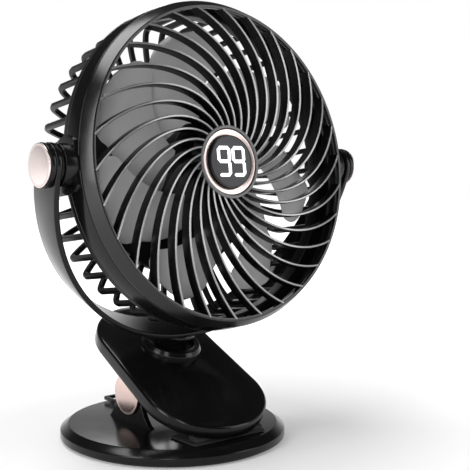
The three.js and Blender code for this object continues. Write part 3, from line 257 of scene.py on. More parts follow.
# ---- Meshes ----
class Shape:
    """A mesh that is collected solid by solid, in millimetres, in its sub-assembly's own frame."""

    def __init__(self) -> None:
        """Starts with nothing."""
        self.points: list[Vector] = []
        self.faces: list[tuple[int, ...]] = []

    def loft(
        self,
        rings: Sequence[Sequence[Vector]],
        turn: Matrix = Matrix(),
        capped: bool = True,
        joined: bool = False,
    ) -> "Shape":
        """Adds a skin through rings that have the same number of points.

        Args:
            rings: The rings, from one end to the other.
            turn: The matrix that places the solid.
            capped: True to close both ends with a face.
            joined: True to join the last ring to the first.

        Returns:
            This shape.
        """
        start, count = len(self.points), len(rings[0])
        total = len(rings) * count
        faces: list[tuple[int, ...]] = []
        for span in range(len(rings) if joined else len(rings) - 1):
            lower, upper = span * count, (span + 1) * count % total
            for index in range(count):
                after = (index + 1) % count
                faces.append((lower + index, lower + after, upper + after, upper + index))
        if capped:
            faces += [tuple(reversed(range(count))), tuple(range(total - count, total))]
        self.points += [turn @ point for ring in rings for point in ring]
        self.faces += [tuple(start + index for index in face) for face in faces]
        return self

    def revolve(self, profile: Sequence[Point2], steps: int, turn: Matrix = Matrix()) -> "Shape":
        """Adds a profile turned about the Z axis.

        Args:
            profile: Points of radius and height. It is closed where its ends lie off the axis.
            steps: Steps round the full turn.
            turn: The matrix that places the solid.

        Returns:
            This shape.
        """
        rings = [[polar(r, 360 * step / steps, z) for step in range(steps)] for r, z in profile]
        return self.loft(rings, turn, capped=False, joined=is_loop(profile))

    def extrude(
        self, outline: Sequence[Point2], low: float, high: float, turn: Matrix = Matrix()
    ) -> "Shape":
        """Adds a prism over a flat outline.

        Args:
            outline: The outline's points in order.
            low: The prism's lower height.
            high: Its upper height.
            turn: The matrix that places the solid.

        Returns:
            This shape.
        """
        return self.loft([[Vector((x, y, z)) for x, y in outline] for z in (low, high)], turn)

    def tube(self, path: Sequence[Vector], radius: float, sides: int = 14) -> "Shape":
        """Adds a round wire along a path.

        Args:
            path: The points that the wire follows.
            radius: The wire's radius.
            sides: The number of its flats.

        Returns:
            This shape.
        """
        side = Vector((1, 0, 0))
        turns = [math.tau * step / sides for step in range(sides)]
        rings = []
        for index, point in enumerate(path):
            before = path[max(index - 1, 0)]
            ahead = (path[min(index + 1, len(path) - 1)] - before).normalized()
            side = (side - ahead * side.dot(ahead)).normalized()
            other = ahead.cross(side)
            rings.append([point + (side * math.cos(t) + other * math.sin(t)) * radius for t in turns])
        return self.loft(rings)

    def mesh(self, name: str, place: Matrix) -> bpy.types.Mesh:
        """Makes the collected solids a mesh with its faces turned outwards.

        Args:
            name: The mesh's name.
            place: The matrix from this shape's frame to the mesh's.

        Returns:
            The new mesh.
        """
        mesh = bpy.data.meshes.new(name)
        mesh.from_pydata([place @ point for point in self.points], [], self.faces)
        near = 1e-4 * place.to_scale().x
        tidy = bmesh.new()
        tidy.from_mesh(mesh)
        bmesh.ops.remove_doubles(tidy, verts=tidy.verts, dist=near)
        bmesh.ops.dissolve_degenerate(tidy, edges=tidy.edges, dist=near)
        bmesh.ops.recalc_face_normals(tidy, faces=tidy.faces)
        tidy.to_mesh(mesh)
        tidy.free()
        return mesh


# ---- Node trees ----
class Rule:
    """Writes the nodes of one tree."""

    def __init__(self, tree: bpy.types.NodeTree) -> None:
        """Keeps the tree that the nodes go in."""
        self.tree = tree

    def feed(self, socket: Socket, value: object) -> None:
        """Links a socket into an input, or sets the input to a value.

        Args:
            socket: The input.
            value: A socket, or a value. A colour is given without its alpha, which becomes 1.
        """
        if isinstance(value, Socket):
            self.tree.links.new(value, socket)
        elif socket.type == "RGBA":
            socket.default_value = (*value, 1.0)
        else:
            socket.default_value = value

    def fill(self, node: bpy.types.Node, **values: object) -> bpy.types.Node:
        """Feeds a node's inputs.

        Args:
            node: The node.
            values: What each input gets, by name. An underscore stands for a space.

        Returns:
            The node.
        """
        for name, value in values.items():
            self.feed(node.inputs[name.replace("_", " ")], value)
        return node

    def node(self, kind: str, **values: object) -> bpy.types.Node:
        """Adds a node of a kind and feeds its inputs as fill does."""
        return self.fill(self.tree.nodes.new(kind), **values)

    def group(self, kind: str, tree: bpy.types.NodeTree, **values: object) -> bpy.types.Node:
        """Adds a group node.

        Args:
            kind: The node's kind.
            tree: The group's tree.
            values: What its inputs get, as in fill.

        Returns:
            The group node.
        """
        node = self.tree.nodes.new(kind)
        node.node_tree = tree
        return self.fill(node, **values)

    def math(self, operation: str, *values: object) -> Socket:
        """Adds one step of arithmetic.

        Args:
            operation: The Math node's operation.
            values: Its inputs in order, as numbers or sockets.

        Returns:
            The result's socket.
        """
        node = self.tree.nodes.new("ShaderNodeMath")
        node.operation = operation
        for socket, value in zip(node.inputs, values):
            self.feed(socket, value)
        return node.outputs[0]

    def blend(self, factor: Socket, low: Socket | Color, high: Socket | Color) -> Socket:
        """Mixes two colours.

        Args:
            factor: The share of the second colour.
            low: The first colour.
            high: The second colour.

        Returns:
            The mixed colour's socket.
        """
        node = self.node("ShaderNodeMix", Factor=factor)
        node.data_type = "RGBA"
        self.feed(node.inputs[6], low)
        self.feed(node.inputs[7], high)
        return node.outputs[2]

    def object_place(self) -> Socket:
        """The Object coordinates' socket of a material."""
        return self.node("ShaderNodeTexCoord").outputs["Object"]


def new_tree(
    name: str, kind: str, inputs: dict[str, str], outputs: dict[str, str]
) -> tuple[Rule, dict[str, Socket], bpy.types.Node]:
    """Makes a node tree with named sockets.

    Args:
        name: The tree's name.
        kind: Its type.
        inputs: The kind of each input, such as Float, by name.
        outputs: The kind of each output, by name.

    Returns:
        The tree's rule, its input sockets by name, and its output node.
    """
    tree = bpy.data.node_groups.new(name, kind)
    for way, sockets in (("INPUT", inputs), ("OUTPUT", outputs)):
        for socket, socket_kind in sockets.items():
            tree.interface.new_socket(socket, in_out=way, socket_type=f"NodeSocket{socket_kind}")
    start = tree.nodes.new("NodeGroupInput")
    end = tree.nodes.new("NodeGroupOutput")
    return Rule(tree), {socket: start.outputs[socket] for socket in inputs}, end


@cache
def ring_pattern() -> bpy.types.NodeTree:
    """Builds the Geometry Nodes tree that repeats what it is given round the Z axis.

    Returns:
        The tree.
    """
    inputs = {"Geometry": "Geometry", "Copies": "Int", "Material": "Material"}
    rule, given, end = new_tree("ring_pattern", "GeometryNodeTree", inputs, {"Geometry": "Geometry"})
    points = rule.node("GeometryNodePoints", Count=given["Copies"]).outputs[0]
    index = rule.node("GeometryNodeInputIndex").outputs[0]
    step = rule.math("DIVIDE", math.tau, given["Copies"])
    turn = rule.node("ShaderNodeCombineXYZ", Z=rule.math("MULTIPLY", index, step)).outputs[0]
    copies = rule.node(
        "GeometryNodeInstanceOnPoints", Points=points, Instance=given["Geometry"], Rotation=turn
    )
    real = rule.node("GeometryNodeRealizeInstances", Geometry=copies.outputs[0]).outputs[0]
    dressed = rule.node("GeometryNodeSetMaterial", Geometry=real, Material=given["Material"])
    rule.fill(end, Geometry=dressed.outputs[0])
    return rule.tree


@cache
def swirl_fins() -> bpy.types.NodeTree:
    """Builds the Geometry Nodes tree that bends a straight prism into a swirl fin and repeats it.

    The prism runs from 0 to 1 along X. Its Y is the fin's width in millimetres, and its Z runs from 0 at
    the fin's rear edge to 1 at its front edge. Both edges follow the grille's dome.

    Returns:
        The tree.
    """
    radii = ("Inner Radius", "Outer Radius")
    swirl = ("Rim Angle", "Swirl Linear", "Swirl Log")
    dome = ("Rim Height", "Dome Rise", "Dome Power", "Fin Depth")
    inputs = {"Geometry": "Geometry", "Copies": "Int", "Material": "Material"}
    inputs |= dict.fromkeys(radii + swirl + dome, "Float")
    rule, given, end = new_tree("swirl_fins", "GeometryNodeTree", inputs, {"Geometry": "Geometry"})
    calc = rule.math
    position = rule.node("GeometryNodeInputPosition").outputs[0]
    along, across, share = rule.node("ShaderNodeSeparateXYZ", Vector=position).outputs
    inner, outer = (given[name] for name in radii)
    rim_angle, linear, log = (given[name] for name in swirl)
    rim_height, dome_rise, dome_power, depth = (given[name] for name in dome)
    radius = calc("MULTIPLY", inner, calc("POWER", calc("DIVIDE", outer, inner), along))
    spread = calc("SUBTRACT", radius, outer)
    bend = calc("MULTIPLY", log, calc("LOGARITHM", calc("DIVIDE", radius, outer), math.e))
    angle = calc("RADIANS", calc("ADD", calc("MULTIPLY_ADD", linear, spread, bend), rim_angle))
    slope = calc("RADIANS", calc("MULTIPLY_ADD", linear, radius, log))
    heading = calc("ADD", angle, calc("ARCTANGENT", slope))
    reach = calc("DIVIDE", calc("SUBTRACT", radius, inner), calc("SUBTRACT", outer, inner))
    wave = calc("MAXIMUM", calc("SINE", calc("MULTIPLY", reach, math.pi)), 0.0)
    front = calc("ADD", rim_height, calc("MULTIPLY", dome_rise, calc("POWER", wave, dome_power)))
    side = calc("MULTIPLY", across, calc("SINE", heading))
    ahead = calc("MULTIPLY", across, calc("COSINE", heading))
    place = rule.node(
        "ShaderNodeCombineXYZ",
        X=calc("SUBTRACT", calc("MULTIPLY", radius, calc("COSINE", angle)), side),
        Y=calc("MULTIPLY_ADD", radius, calc("SINE", angle), ahead),
        Z=calc("MULTIPLY_ADD", calc("SUBTRACT", share, 1.0), depth, front),
    )
    # The mask of the front edge, which the fins' material paints pale as a highlight.
    mask = rule.node("ShaderNodeMapRange", Value=share, From_Min=0.94, From_Max=0.99)
    marked = rule.node("GeometryNodeStoreNamedAttribute", Geometry=given["Geometry"], Name=FRONT_EDGE)
    marked.data_type = "FLOAT"
    rule.fill(marked, Value=mask.outputs[0])
    bent = rule.node("GeometryNodeSetPosition", Geometry=marked.outputs[0], Position=place.outputs[0])
    shared = {name: given[name] for name in ("Copies", "Material")}
    fins = rule.group("GeometryNodeGroup", ring_pattern(), Geometry=bent.outputs[0], **shared)
    rule.fill(end, Geometry=fins.outputs[0])
    return rule.tree


@cache
def moulded_group() -> bpy.types.NodeTree:
    """Builds the shader group of moulded surfaces: uneven tone, handling marks and a fine grain.

    Returns:
        The group.
    """
    floats = dict.fromkeys(("Grain Scale", "Roughness", "Roughness Spread"), "Float")
    inputs = {"Vector": "Vector", "Color": "Color", "Marked Color": "Color"} | floats
    outputs = {"Color": "Color", "Roughness": "Float", "Height": "Float"}
    rule, given, end = new_tree("moulded_surface", "ShaderNodeTree", inputs, outputs)
    place = given["Vector"]
    marks = rule.node("ShaderNodeTexNoise", Vector=place, Scale=38.0, Detail=4.0, Roughness=0.62)
    grain = rule.node("ShaderNodeTexNoise", Vector=place, Scale=given["Grain Scale"], Detail=2.0)
    ramp = rule.node("ShaderNodeMapRange", Value=marks.outputs[0], From_Min=0.35, From_Max=0.7).outputs[0]
    uneven = rule.math("SUBTRACT", ramp, 0.5)
    rule.fill(
        end,
        Color=rule.blend(ramp, given["Color"], given["Marked Color"]),
        Roughness=rule.math("MULTIPLY_ADD", uneven, given["Roughness Spread"], given["Roughness"]),
        Height=grain.outputs[0],
    )
    return rule.tree


@cache
def spun_group() -> bpy.types.NodeTree:
    """Builds the shader group of spun metal: fine rings about the Z axis of its vector.

    Returns:
        The group.
    """
    inputs = {"Vector": "Vector", "Ring Scale": "Float", "Roughness": "Float", "Roughness Spread": "Float"}
    outputs = dict.fromkeys(("Roughness", "Height", "Tone"), "Float")
    rule, given, end = new_tree("spun_rings", "ShaderNodeTree", inputs, outputs)
    x, y = rule.node("ShaderNodeSeparateXYZ", Vector=given["Vector"]).outputs[:2]
    radius = rule.math("SQRT", rule.math("MULTIPLY_ADD", x, x, rule.math("MULTIPLY", y, y)))
    line = rule.node("ShaderNodeCombineXYZ", X=radius).outputs[0]
    scale = given["Ring Scale"]
    rings = rule.node("ShaderNodeTexNoise", Vector=line, Scale=scale, Detail=3.0, Roughness=0.7).outputs[0]
    uneven = rule.math("SUBTRACT", rings, 0.5)
    rough = rule.math("MULTIPLY_ADD", uneven, given["Roughness Spread"], given["Roughness"])
    rule.fill(end, Roughness=rough, Height=rings, Tone=rings)
    return rule.tree


# ---- Finishes ----
@dataclass(frozen=True)
class Finish:
    """A surface finish.

    Attributes:
        name: The material's name.
        color: Its colour.
        other: The colour that it blends with: where it is handled, dull, in its marks or over a track.
        roughness: Its mean roughness.
    """

    name: str
    color: Color
    other: Color
    roughness: float

    def build(self) -> Material:
        """Makes the material.

        Returns:
            The material.
        """
        material = bpy.data.materials.new(self.name)
        material.use_nodes = True
        self.write(Rule(material.node_tree), material.node_tree.nodes["Principled BSDF"])
        return material

    def write(self, rule: Rule, shader: bpy.types.Node) -> None:
        """Writes the nodes of the material. Each kind of finish has its own.

        Args:
            rule: The material's rule.
            shader: Its Principled shader.
        """
        raise NotImplementedError


def bump(rule: Rule, height: Socket, strength: float, depth: float) -> Socket:
    """Turns a height into a normal.

    Args:
        rule: The material's rule.
        height: The height's socket, from 0 to 1.
        strength: The share of the bump that shows.
        depth: The height of 1, in millimetres.

    Returns:
        The normal's socket.
    """
    node = rule.node("ShaderNodeBump", Height=height, Strength=strength, Distance=depth * MM)
    return node.outputs[0]


@dataclass(frozen=True)
class Moulded(Finish):
    """A moulded plastic or rubber.

    Attributes:
        spread: How far the roughness varies.
        grain: The grain's scale, per metre.
        depth: The grain's height in millimetres.
        specular: The shader's specular level.
    """

    spread: float
    grain: float = 1400.0
    depth: float = 0.01
    specular: float = 0.5

    def write(self, rule: Rule, shader: bpy.types.Node) -> None:
        """Writes the nodes of the material.

        Args:
            rule: The material's rule.
            shader: Its Principled shader.
        """
        surface = rule.group(
            "ShaderNodeGroup",
            moulded_group(),
            Vector=rule.object_place(),
            Color=self.color,
            Marked_Color=self.other,
            Grain_Scale=self.grain,
            Roughness=self.roughness,
            Roughness_Spread=self.spread,
        ).outputs
        rule.fill(
            shader,
            Base_Color=surface["Color"],
            Roughness=surface["Roughness"],
            Specular_IOR_Level=self.specular,
            Normal=bump(rule, surface["Height"], 0.35, self.depth),
        )


@dataclass(frozen=True)
class EdgedFin(Moulded):
    """A moulded plastic whose front edges carry a painted highlight: a pale skin that also shines partly as
    metal does.

    Attributes:
        edge: The colour of the painted highlight on the front edges.
        edge_metal: How far the painted highlight shines as metal does.
    """

    edge: Color = (0.3, 0.3, 0.3)
    edge_metal: float = 0.6

    def write(self, rule: Rule, shader: bpy.types.Node) -> None:
        """Writes the nodes of the material.

        Args:
            rule: The material's rule.
            shader: Its Principled shader.
        """
        super().write(rule, shader)
        # Paints a pale highlight along the front edges, over the plain colour.
        attribute = rule.node("ShaderNodeAttribute")
        attribute.attribute_name = FRONT_EDGE
        mask = attribute.outputs["Fac"]
        plain = shader.inputs["Base Color"].links[0].from_socket
        shine = rule.math("MULTIPLY", mask, self.edge_metal)
        rule.fill(shader, Base_Color=rule.blend(mask, plain, self.edge), Metallic=shine)


@dataclass(frozen=True)
class Spun(Finish):
    """A metal disc or ring with fine turning marks.

    Attributes:
        place: The place of its axis, which the marks run round.
        depth: The marks' height in millimetres.
    """

    place: Matrix
    depth: float = 0.004

    def write(self, rule: Rule, shader: bpy.types.Node) -> None:
        """Writes the nodes of the material.

        Args:
            rule: The material's rule.
            shader: Its Principled shader.
        """
        turn = self.place.to_quaternion().to_matrix().to_4x4()
        back = (Matrix.Translation(self.place.translation) @ turn).inverted()
        mapping = rule.node("ShaderNodeMapping", Vector=rule.object_place(), Location=back.translation)
        rule.fill(mapping, Rotation=back.to_euler())
        surface = rule.group(
            "ShaderNodeGroup",
            spun_group(),
            Vector=mapping.outputs[0],
            Ring_Scale=3200.0,
            Roughness=self.roughness,
            Roughness_Spread=0.12,
        ).outputs
        rule.fill(
            shader,
            Base_Color=rule.blend(surface["Tone"], self.other, self.color),
            Roughness=surface["Roughness"],
            Metallic=1.0,
            Normal=bump(rule, surface["Height"], 0.25, self.depth),
        )


@dataclass(frozen=True)
class Metal(Finish):
    """A plain metal whose tone and gloss vary a little.

    Attributes:
        scale: The scale of its variation, per metre.
    """

    scale: float = 500.0

    def write(self, rule: Rule, shader: bpy.types.Node) -> None:
        """Writes the nodes of the material.

        Args:
            rule: The material's rule.
            shader: Its Principled shader.
        """
        place = rule.object_place()
        noise = rule.node("ShaderNodeTexNoise", Vector=place, Scale=self.scale, Detail=3.0).outputs[0]
        rough = rule.math("MULTIPLY_ADD", noise, 0.2, self.roughness)
        tint = rule.blend(noise, self.other, self.color)
        rule.fill(shader, Base_Color=tint, Roughness=rough, Metallic=1.0)


@dataclass(frozen=True)
class Board(Finish):
    """A circuit board: tracks and pads, in the other colour, under a coloured varnish."""

    def write(self, rule: Rule, shader: bpy.types.Node) -> None:
        """Writes the nodes of the material.

        Args:
            rule: The material's rule.
            shader: Its Principled shader.
        """
        cells = rule.node("ShaderNodeTexVoronoi", Vector=rule.object_place(), Scale=420.0)
        cells.distance = "CHEBYCHEV"
        mask = rule.math("GREATER_THAN", cells.outputs["Distance"], 0.42)
        rule.fill(shader, Base_Color=rule.blend(mask, self.color, self.other), Roughness=self.roughness)


@dataclass(frozen=True)
class LitDigit(Finish):
    """The glowing segments of the display.

    Attributes:
        strength: The light's strength.
    """

    strength: float

    def write(self, rule: Rule, shader: bpy.types.Node) -> None:
        """Writes the nodes of the material.

        Args:
            rule: The material's rule.
            shader: Its Principled shader.
        """
        noise = rule.node("ShaderNodeTexNoise", Vector=rule.object_place(), Scale=300.0)
        tint = rule.blend(noise.outputs[0], self.color, self.other)
        rule.fill(
            shader,
            Base_Color=tint,
            Emission_Color=tint,
            Emission_Strength=self.strength,
            Roughness=self.roughness,
        )


@dataclass(frozen=True)
class PaleFloor(Finish):
    """A plain floor that takes the fan's shadow. Where it is seen, it also glows in its other colour."""

    def write(self, rule: Rule, shader: bpy.types.Node) -> None:
        """Writes the nodes of the material.

        Args:
            rule: The material's rule.
            shader: Its Principled shader.
        """
        place = rule.object_place()
        noise = rule.node("ShaderNodeTexNoise", Vector=place, Scale=3.0).outputs[0]
        rays = rule.node("ShaderNodeLightPath").outputs
        seen = rule.math("MAXIMUM", rays["Is Camera Ray"], rays["Is Transmission Ray"])
        seen = rule.math("MAXIMUM", seen, rays["Is Glossy Ray"])
        away = rule.node("ShaderNodeVectorMath", Vector=place)
        away.operation = "LENGTH"
        far = away.outputs["Value"]
        fade = rule.node("ShaderNodeMapRange", Value=far, From_Min=0.1, From_Max=0.55, To_Min=0.2)
        rule.fill(
            shader,
            Base_Color=self.color,
            Roughness=rule.math("MULTIPLY_ADD", noise, 0.1, self.roughness),
            Specular_IOR_Level=0.1,
            Emission_Color=self.other,
            Emission_Strength=rule.math("MULTIPLY", seen, fade.outputs[0]),
        )


class Finishes:
    """The fan's materials, each built once."""

    def __init__(self) -> None:
        """Builds every material."""
        plastics = (0.0035, 0.0035, 0.0038), (0.0055, 0.0055, 0.006)
        greys = (0.5, 0.5, 0.503), (0.53, 0.53, 0.532)
        rubbers = (0.016, 0.016, 0.016), (0.024, 0.024, 0.023)
        smoke = (0.07, 0.07, 0.075), (0.08, 0.08, 0.085)
        paint = (0.55, 0.55, 0.55), (0.6, 0.6, 0.6)
        self.gloss_black = Moulded("gloss_black", *plastics, 0.18, 0.06, 2600.0, 0.004, 0.26).build()
        self.satin_black = Moulded("satin_black", *plastics, 0.36, 0.1, 1800.0, 0.012, 0.26).build()
        self.rim_black = Moulded("rim_black", *plastics, 0.22, 0.08, 2200.0, 0.006, 0.5).build()
        self.cup_grey = Metal("cup_grey", (0.14, 0.14, 0.145), (0.1, 0.1, 0.103), 0.3).build()
        # The fins' pale front edges are a painted highlight.
        self.fin_black = EdgedFin("fin_black", *plastics, 0.24, 0.08, 2200.0, 0.006, 0.28).build()
        self.fan_grey = Moulded("fan_grey", *greys, 0.42, 0.1, 900.0, 0.006, 0.4).build()
        self.rubber = Moulded("rubber", *rubbers, 0.72, 0.12, 2600.0, 0.03, 0.3).build()
        self.lens = Moulded("lens", *smoke, 0.16, 0.04, 3000.0, 0.002, 0.06).build()
        self.digit = LitDigit("digit", (0.93, 0.95, 1.0), (1.0, 1.0, 1.0), 0.4, 1.1).build()
        self.symbol = Moulded("symbol", *paint, 0.5, 0.06).build()
        self.steel = Metal("steel", (0.62, 0.63, 0.65), (0.42, 0.43, 0.45), 0.2).build()
        self.pouch = Metal("pouch", (0.6, 0.61, 0.63), (0.45, 0.46, 0.48), 0.35, 200.0).build()
        self.copper = Metal("copper", (0.72, 0.36, 0.18), (0.4, 0.18, 0.08), 0.3, 900.0).build()
        self.board = Board("board", (0.012, 0.09, 0.035), (0.02, 0.16, 0.06), 0.35).build()

    @staticmethod
    def rose_gold(name: str, place: Matrix, pink: float = 0.25) -> Material:
        """Makes rose gold that is spun about a place's Z axis.

        Args:
            name: The material's name.
            place: The place of the axis.
            pink: How far it leans from silver towards copper, up to 1.

        Returns:
            The material.
        """
        silver, copper = Vector((0.87, 0.8, 0.785)), Vector((0.8, 0.57, 0.51))
        color = silver.lerp(copper, pink)
        return Spun(name, tuple(color), tuple(color * 0.82), 0.28, place).build()


# ---- Sub-assemblies ----
@dataclass
class Assembly:
    """A sub-assembly of the fan. Its pieces ride on its body and are made in its place.

    Attributes:
        finishes: The fan's materials.
    """

    finishes: Finishes

    # The body that its pieces ride on and the place that they are made in, unless they say otherwise.
    BODY = Body.BASE
    PLACE = BASE_PLACE

    def piece(
        self,
        name: str,
        form: Shape | bpy.types.Mesh,
        slot: Slot,
        material: Material,
        *nodes: str,
        body: Body | None = None,
        place: Matrix | None = None,
        bevel: float = 0.0,
        sharp: float = 60.0,
    ) -> None:
        """Makes a piece of the fan: it gets its finish and moves with its body.

        Args:
            name: The piece's name.
            form: Its shape, or its mesh in place in metres.
            slot: The record's slot for the piece. It is not used.
            material: Its material.
            nodes: The CAD nodes that it stands for.
            body: The body that it rides on, where that isn't the sub-assembly's own.
            place: The place of its shape, where that isn't the sub-assembly's own.
            bevel: How far its edges are rounded, in millimetres.
            sharp: The angle in degrees over which an edge stays sharp.
        """
        body = body or self.BODY
        if isinstance(form, Shape):
            form = form.mesh(name, self.PLACE if place is None else place)
        piece = bpy.data.objects.new(name, form)
        bpy.context.scene.collection.objects.link(piece)
        form.materials.clear()
        form.materials.append(material)
        form.shade_smooth()
        form.set_sharp_from_angle(angle=math.radians(sharp))
        if bevel > 0:
            rounding = piece.modifiers.new("rounded edges", "BEVEL")
            rounding.width = bevel * MM
            rounding.segments = 3
            rounding.limit_method = "ANGLE"
            rounding.angle_limit = math.radians(sharp)
            rounding.harden_normals = True
        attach(piece, body.value)
        if nodes:
            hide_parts(*nodes)
        LOG.info("%s rides on %s", name, body.value)

    def grown(
        self, name: str, shape: Shape, tree: bpy.types.NodeTree, material: Material, **values: float
    ) -> bpy.types.Mesh:
        """Runs a shape through a Geometry Nodes tree and keeps the result as a plain mesh.

        Args:
            name: The mesh's name.
            shape: What the tree starts from.
            tree: The Geometry Nodes tree.
            material: The material that the tree sets.
            values: The tree's other inputs by name, an underscore standing for a space.

        Returns:
            The plain mesh, in place.
        """
        seed = bpy.data.objects.new(name + "_seed", shape.mesh(name + "_seed", Matrix()))
        bpy.context.scene.collection.objects.link(seed)
        grow = seed.modifiers.new("grow", "NODES")
        grow.node_group = tree
        chosen = {key.replace("_", " "): value for key, value in values.items()} | {"Material": material}
        for item in tree.interface.items_tree:
            if item.item_type == "SOCKET" and item.in_out == "INPUT" and item.name in chosen:
                grow[item.identifier] = chosen[item.name]
        seed.update_tag()
        evaluated = seed.evaluated_get(bpy.context.evaluated_depsgraph_get())
        mesh = bpy.data.meshes.new_from_object(evaluated)
        bpy.data.objects.remove(seed)
        mesh.name = name
        mesh.transform(self.PLACE)
        return mesh

    @staticmethod
    def dress(material: Material, *names: str) -> None:
        """Gives CAD nodes that stay in view their material.

        Args:
            material: The material.
            names: The nodes' names.
        """
        for name in names:
            node = frame["nodes"][name]
            if not node.material_slots:
                node.data.materials.append(material)
            for socket in node.material_slots:
                socket.material = material
            LOG.info("%s is dressed in %s", name, material.name)


@dataclass
class Base(Assembly):
    """The round base with its cheeks, pads, hinge and inner parts."""

    radius: float = 62.5
    top_radius: float = 58.1
    side_top: float = 5.4
    top: float = 8.5
    bottom: float = 1.5
    side_wall: float = 2.0
    top_wall: float = 1.8
    inner_drop: float = 0.8
    pad_radius: float = 59.5
    pad_thickness: float = 1.2
    groove_width: float = 2.0
    groove_depth: float = 0.5
    hinge_y: float = 10.0
    hinge_z: float = 24.0
    cheek_inner: float = 20.2
    cheek_thickness: float = 3.0
    cheek_radius: float = 12.2
    cheek_front: float = 23.0
    cheek_back: float = 20.0
    cheek_flare: float = 1.5
    cap_radius: float = 11.3
    cap_thickness: float = 1.1
    cap_dome: float = 0.8
    pin_radius: float = 2.8
    coil_radius: float = 5.2
    wire_radius: float = 0.8
    coil_turns: int = 6
    coil_pitch: float = 2.4
    coil_steps: int = 24
    leg_bend: float = 1.0
    leg_out: float = 4.0
    leg_drop: float = 3.0
    leg_rise: float = 4.0
    leg_reach: float = 9.0
    jaw_pad_half: float = 23.5
    jaw_pad_front: float = 51.0
    jaw_pad_back: float = 30.0
    jaw_pad_rise: float = 1.5
    jaw_pad_ribs: int = 7
    jaw_pad_groove: float = 0.5
    usb_half_width: float = 4.5
    usb_half_height: float = 1.6
    usb_depth: float = 6.4
    usb_wall: float = 0.4
    usb_recess: float = 0.4
    usb_floor: float = 1.2
    tongue_half: float = 0.35
    tongue_root: float = 1.0
    tongue_inset: float = 0.8
    tongue_share: float = 0.66
    knuckle_y: float = 43.6
    knuckle_radius: float = 2.0
    knuckle_rise: float = 1.8
    knuckle_half: float = 6.4
    sink: float = 0.5  # how far what stands on the cover reaches into it
    waist_rise: float = 3.0

    def build(self) -> None:
        """Makes the base's pieces."""
        self.make_cover()
        self.make_pads()
        self.make_hinge()
        self.make_spring()
        self.make_socket()
        self.dress(self.finishes.satin_black, "base_pan")
        self.dress(self.finishes.pouch, "battery_cell")
        self.dress(self.finishes.board, "charge_board")

    def cheek_outline(self) -> list[Point2]:
        """The outline of a hinge cheek, in the base's Y and Z.

        Returns:
            The outline's points in order.
        """
        y, z, radius = self.hinge_y, self.hinge_z, self.cheek_radius
        flare, waist = radius + self.cheek_flare, self.top + self.waist_rise
        foot = self.top - self.sink
        front = curve((y - self.cheek_front, foot), (y - flare, waist), (y - radius, z))
        crown = arc((y, z), (radius, radius), 180, 0, 28)
        back = curve((y + radius, z), (y + flare, waist), (y + self.cheek_back, foot))
        return front + crown[1:-1] + back

    def make_cover(self) -> None:
        """Makes the base's shell with its cheeks and the bail's knuckle."""
        shell = [
            (0, self.top),
            (self.top_radius, self.top),
            (self.radius, self.side_top),
            (self.radius, self.bottom),
            (self.radius - self.side_wall, self.bottom),
            (self.radius - self.side_wall, self.side_top - self.inner_drop),
            (self.top_radius - self.inner_drop, self.top - self.top_wall),
            (0, self.top - self.top_wall),
        ]
        y, reach = self.knuckle_y, self.knuckle_radius
        knuckle = [
            (y - reach, self.top - self.sink),
            (y + reach, self.top - self.sink),
            *arc((y, self.top + self.knuckle_rise), (reach, reach), 0, 180, 16),
        ]
        gloss = self.finishes.gloss_black
        cheeks = Shape()
        low, high = self.cheek_inner, self.cheek_inner + self.cheek_thickness
        for side in SIDES.values():
            cheeks.extrude(self.cheek_outline(), low, high, side @ ALONG_X)
        for name, shape, bevel, sharp in (
            ("base_shell", Shape().revolve(rounded(shell, 0.45), HEAD_STEPS), 0.0, 60.0),
            ("hinge_cheeks", cheeks, 0.5, CRISP),
            ("bail_knuckle", self.across(knuckle, self.knuckle_half), 0.3, CRISP),
        ):
            self.piece(name, shape, Slot.GLOSS_BLACK, gloss, "base_cover", bevel=bevel, sharp=sharp)

    @staticmethod
    def across(outline: Sequence[Point2], half: float) -> Shape:
        """A prism along X over an outline in Y and Z, as far to the left as to the right."""
        return Shape().extrude(outline, -half, half, ALONG_X)

    def make_pads(self) -> None:
        """Makes the foot pad and the ribbed pad of the lower jaw."""
        outer = self.pad_radius - 2 * self.groove_width
        inner = outer - self.groove_width
        foot = [
            (0, 0),
            (inner, 0),
            (inner + self.groove_depth, self.groove_depth),
            (outer - self.groove_depth, self.groove_depth),
            (outer, 0),
            (self.pad_radius, 0),
            (self.pad_radius, self.pad_thickness),
            (0, self.pad_thickness),
        ]
        rubber = self.finishes.rubber
        pad = Shape().revolve(rounded(foot, 0.2), HEAD_STEPS // 2)
        self.piece("foot_pad_rubber", pad, Slot.RUBBER, rubber, "foot_pad")
        pitch = (self.jaw_pad_front - self.jaw_pad_back) / self.jaw_pad_ribs
        low, high = self.top + SEAT, self.top + self.jaw_pad_rise
        groove = high - self.jaw_pad_groove
        rib = ((0.08, high), (0.72, high), (0.82, groove), (0.98, groove))
        section = [(-self.jaw_pad_back, low)]
        for index in range(self.jaw_pad_ribs):
            start = -self.jaw_pad_back - pitch * index
            section += [(start - pitch * share, z) for share, z in rib]
        pad = self.across([*section, (-self.jaw_pad_front, low)], self.jaw_pad_half)
        self.piece("lower_pad_rubber", pad, Slot.RUBBER, rubber, "lower_jaw_pad", bevel=0.12, sharp=CRISP)

    def make_hinge(self) -> None:
        """Makes the hinge pin and its rose-gold caps."""
        face = self.cheek_inner + self.cheek_thickness
        axis = Matrix.Translation((0, self.hinge_y, self.hinge_z)) @ ALONG_X
        pin = Shape().revolve(rounded(stepped((0, self.pin_radius), (-face, face)), 0.4), PIN_STEPS, axis)
        self.piece("hinge_pin_steel", pin, Slot.STEEL, self.finishes.steel, "hinge_pin")
        # The hinge caps' rose gold leans further towards copper than the other caps'. Its darker tone is
        # painted shade under the jaw.
        gold = self.finishes.rose_gold("rose_gold_hinge", BASE_PLACE @ axis, 0.75)
        profile = cap_profile(self.cap_radius, self.cap_thickness, self.cap_dome, face + SEAT)
        for side, turn in SIDES.items():
            cap = Shape().revolve(profile, KNOB_STEPS, turn @ axis)
            self.piece(f"hinge_cap_{side}_gold", cap, Slot.ROSE_GOLD, gold, f"hinge_cap_{side}")

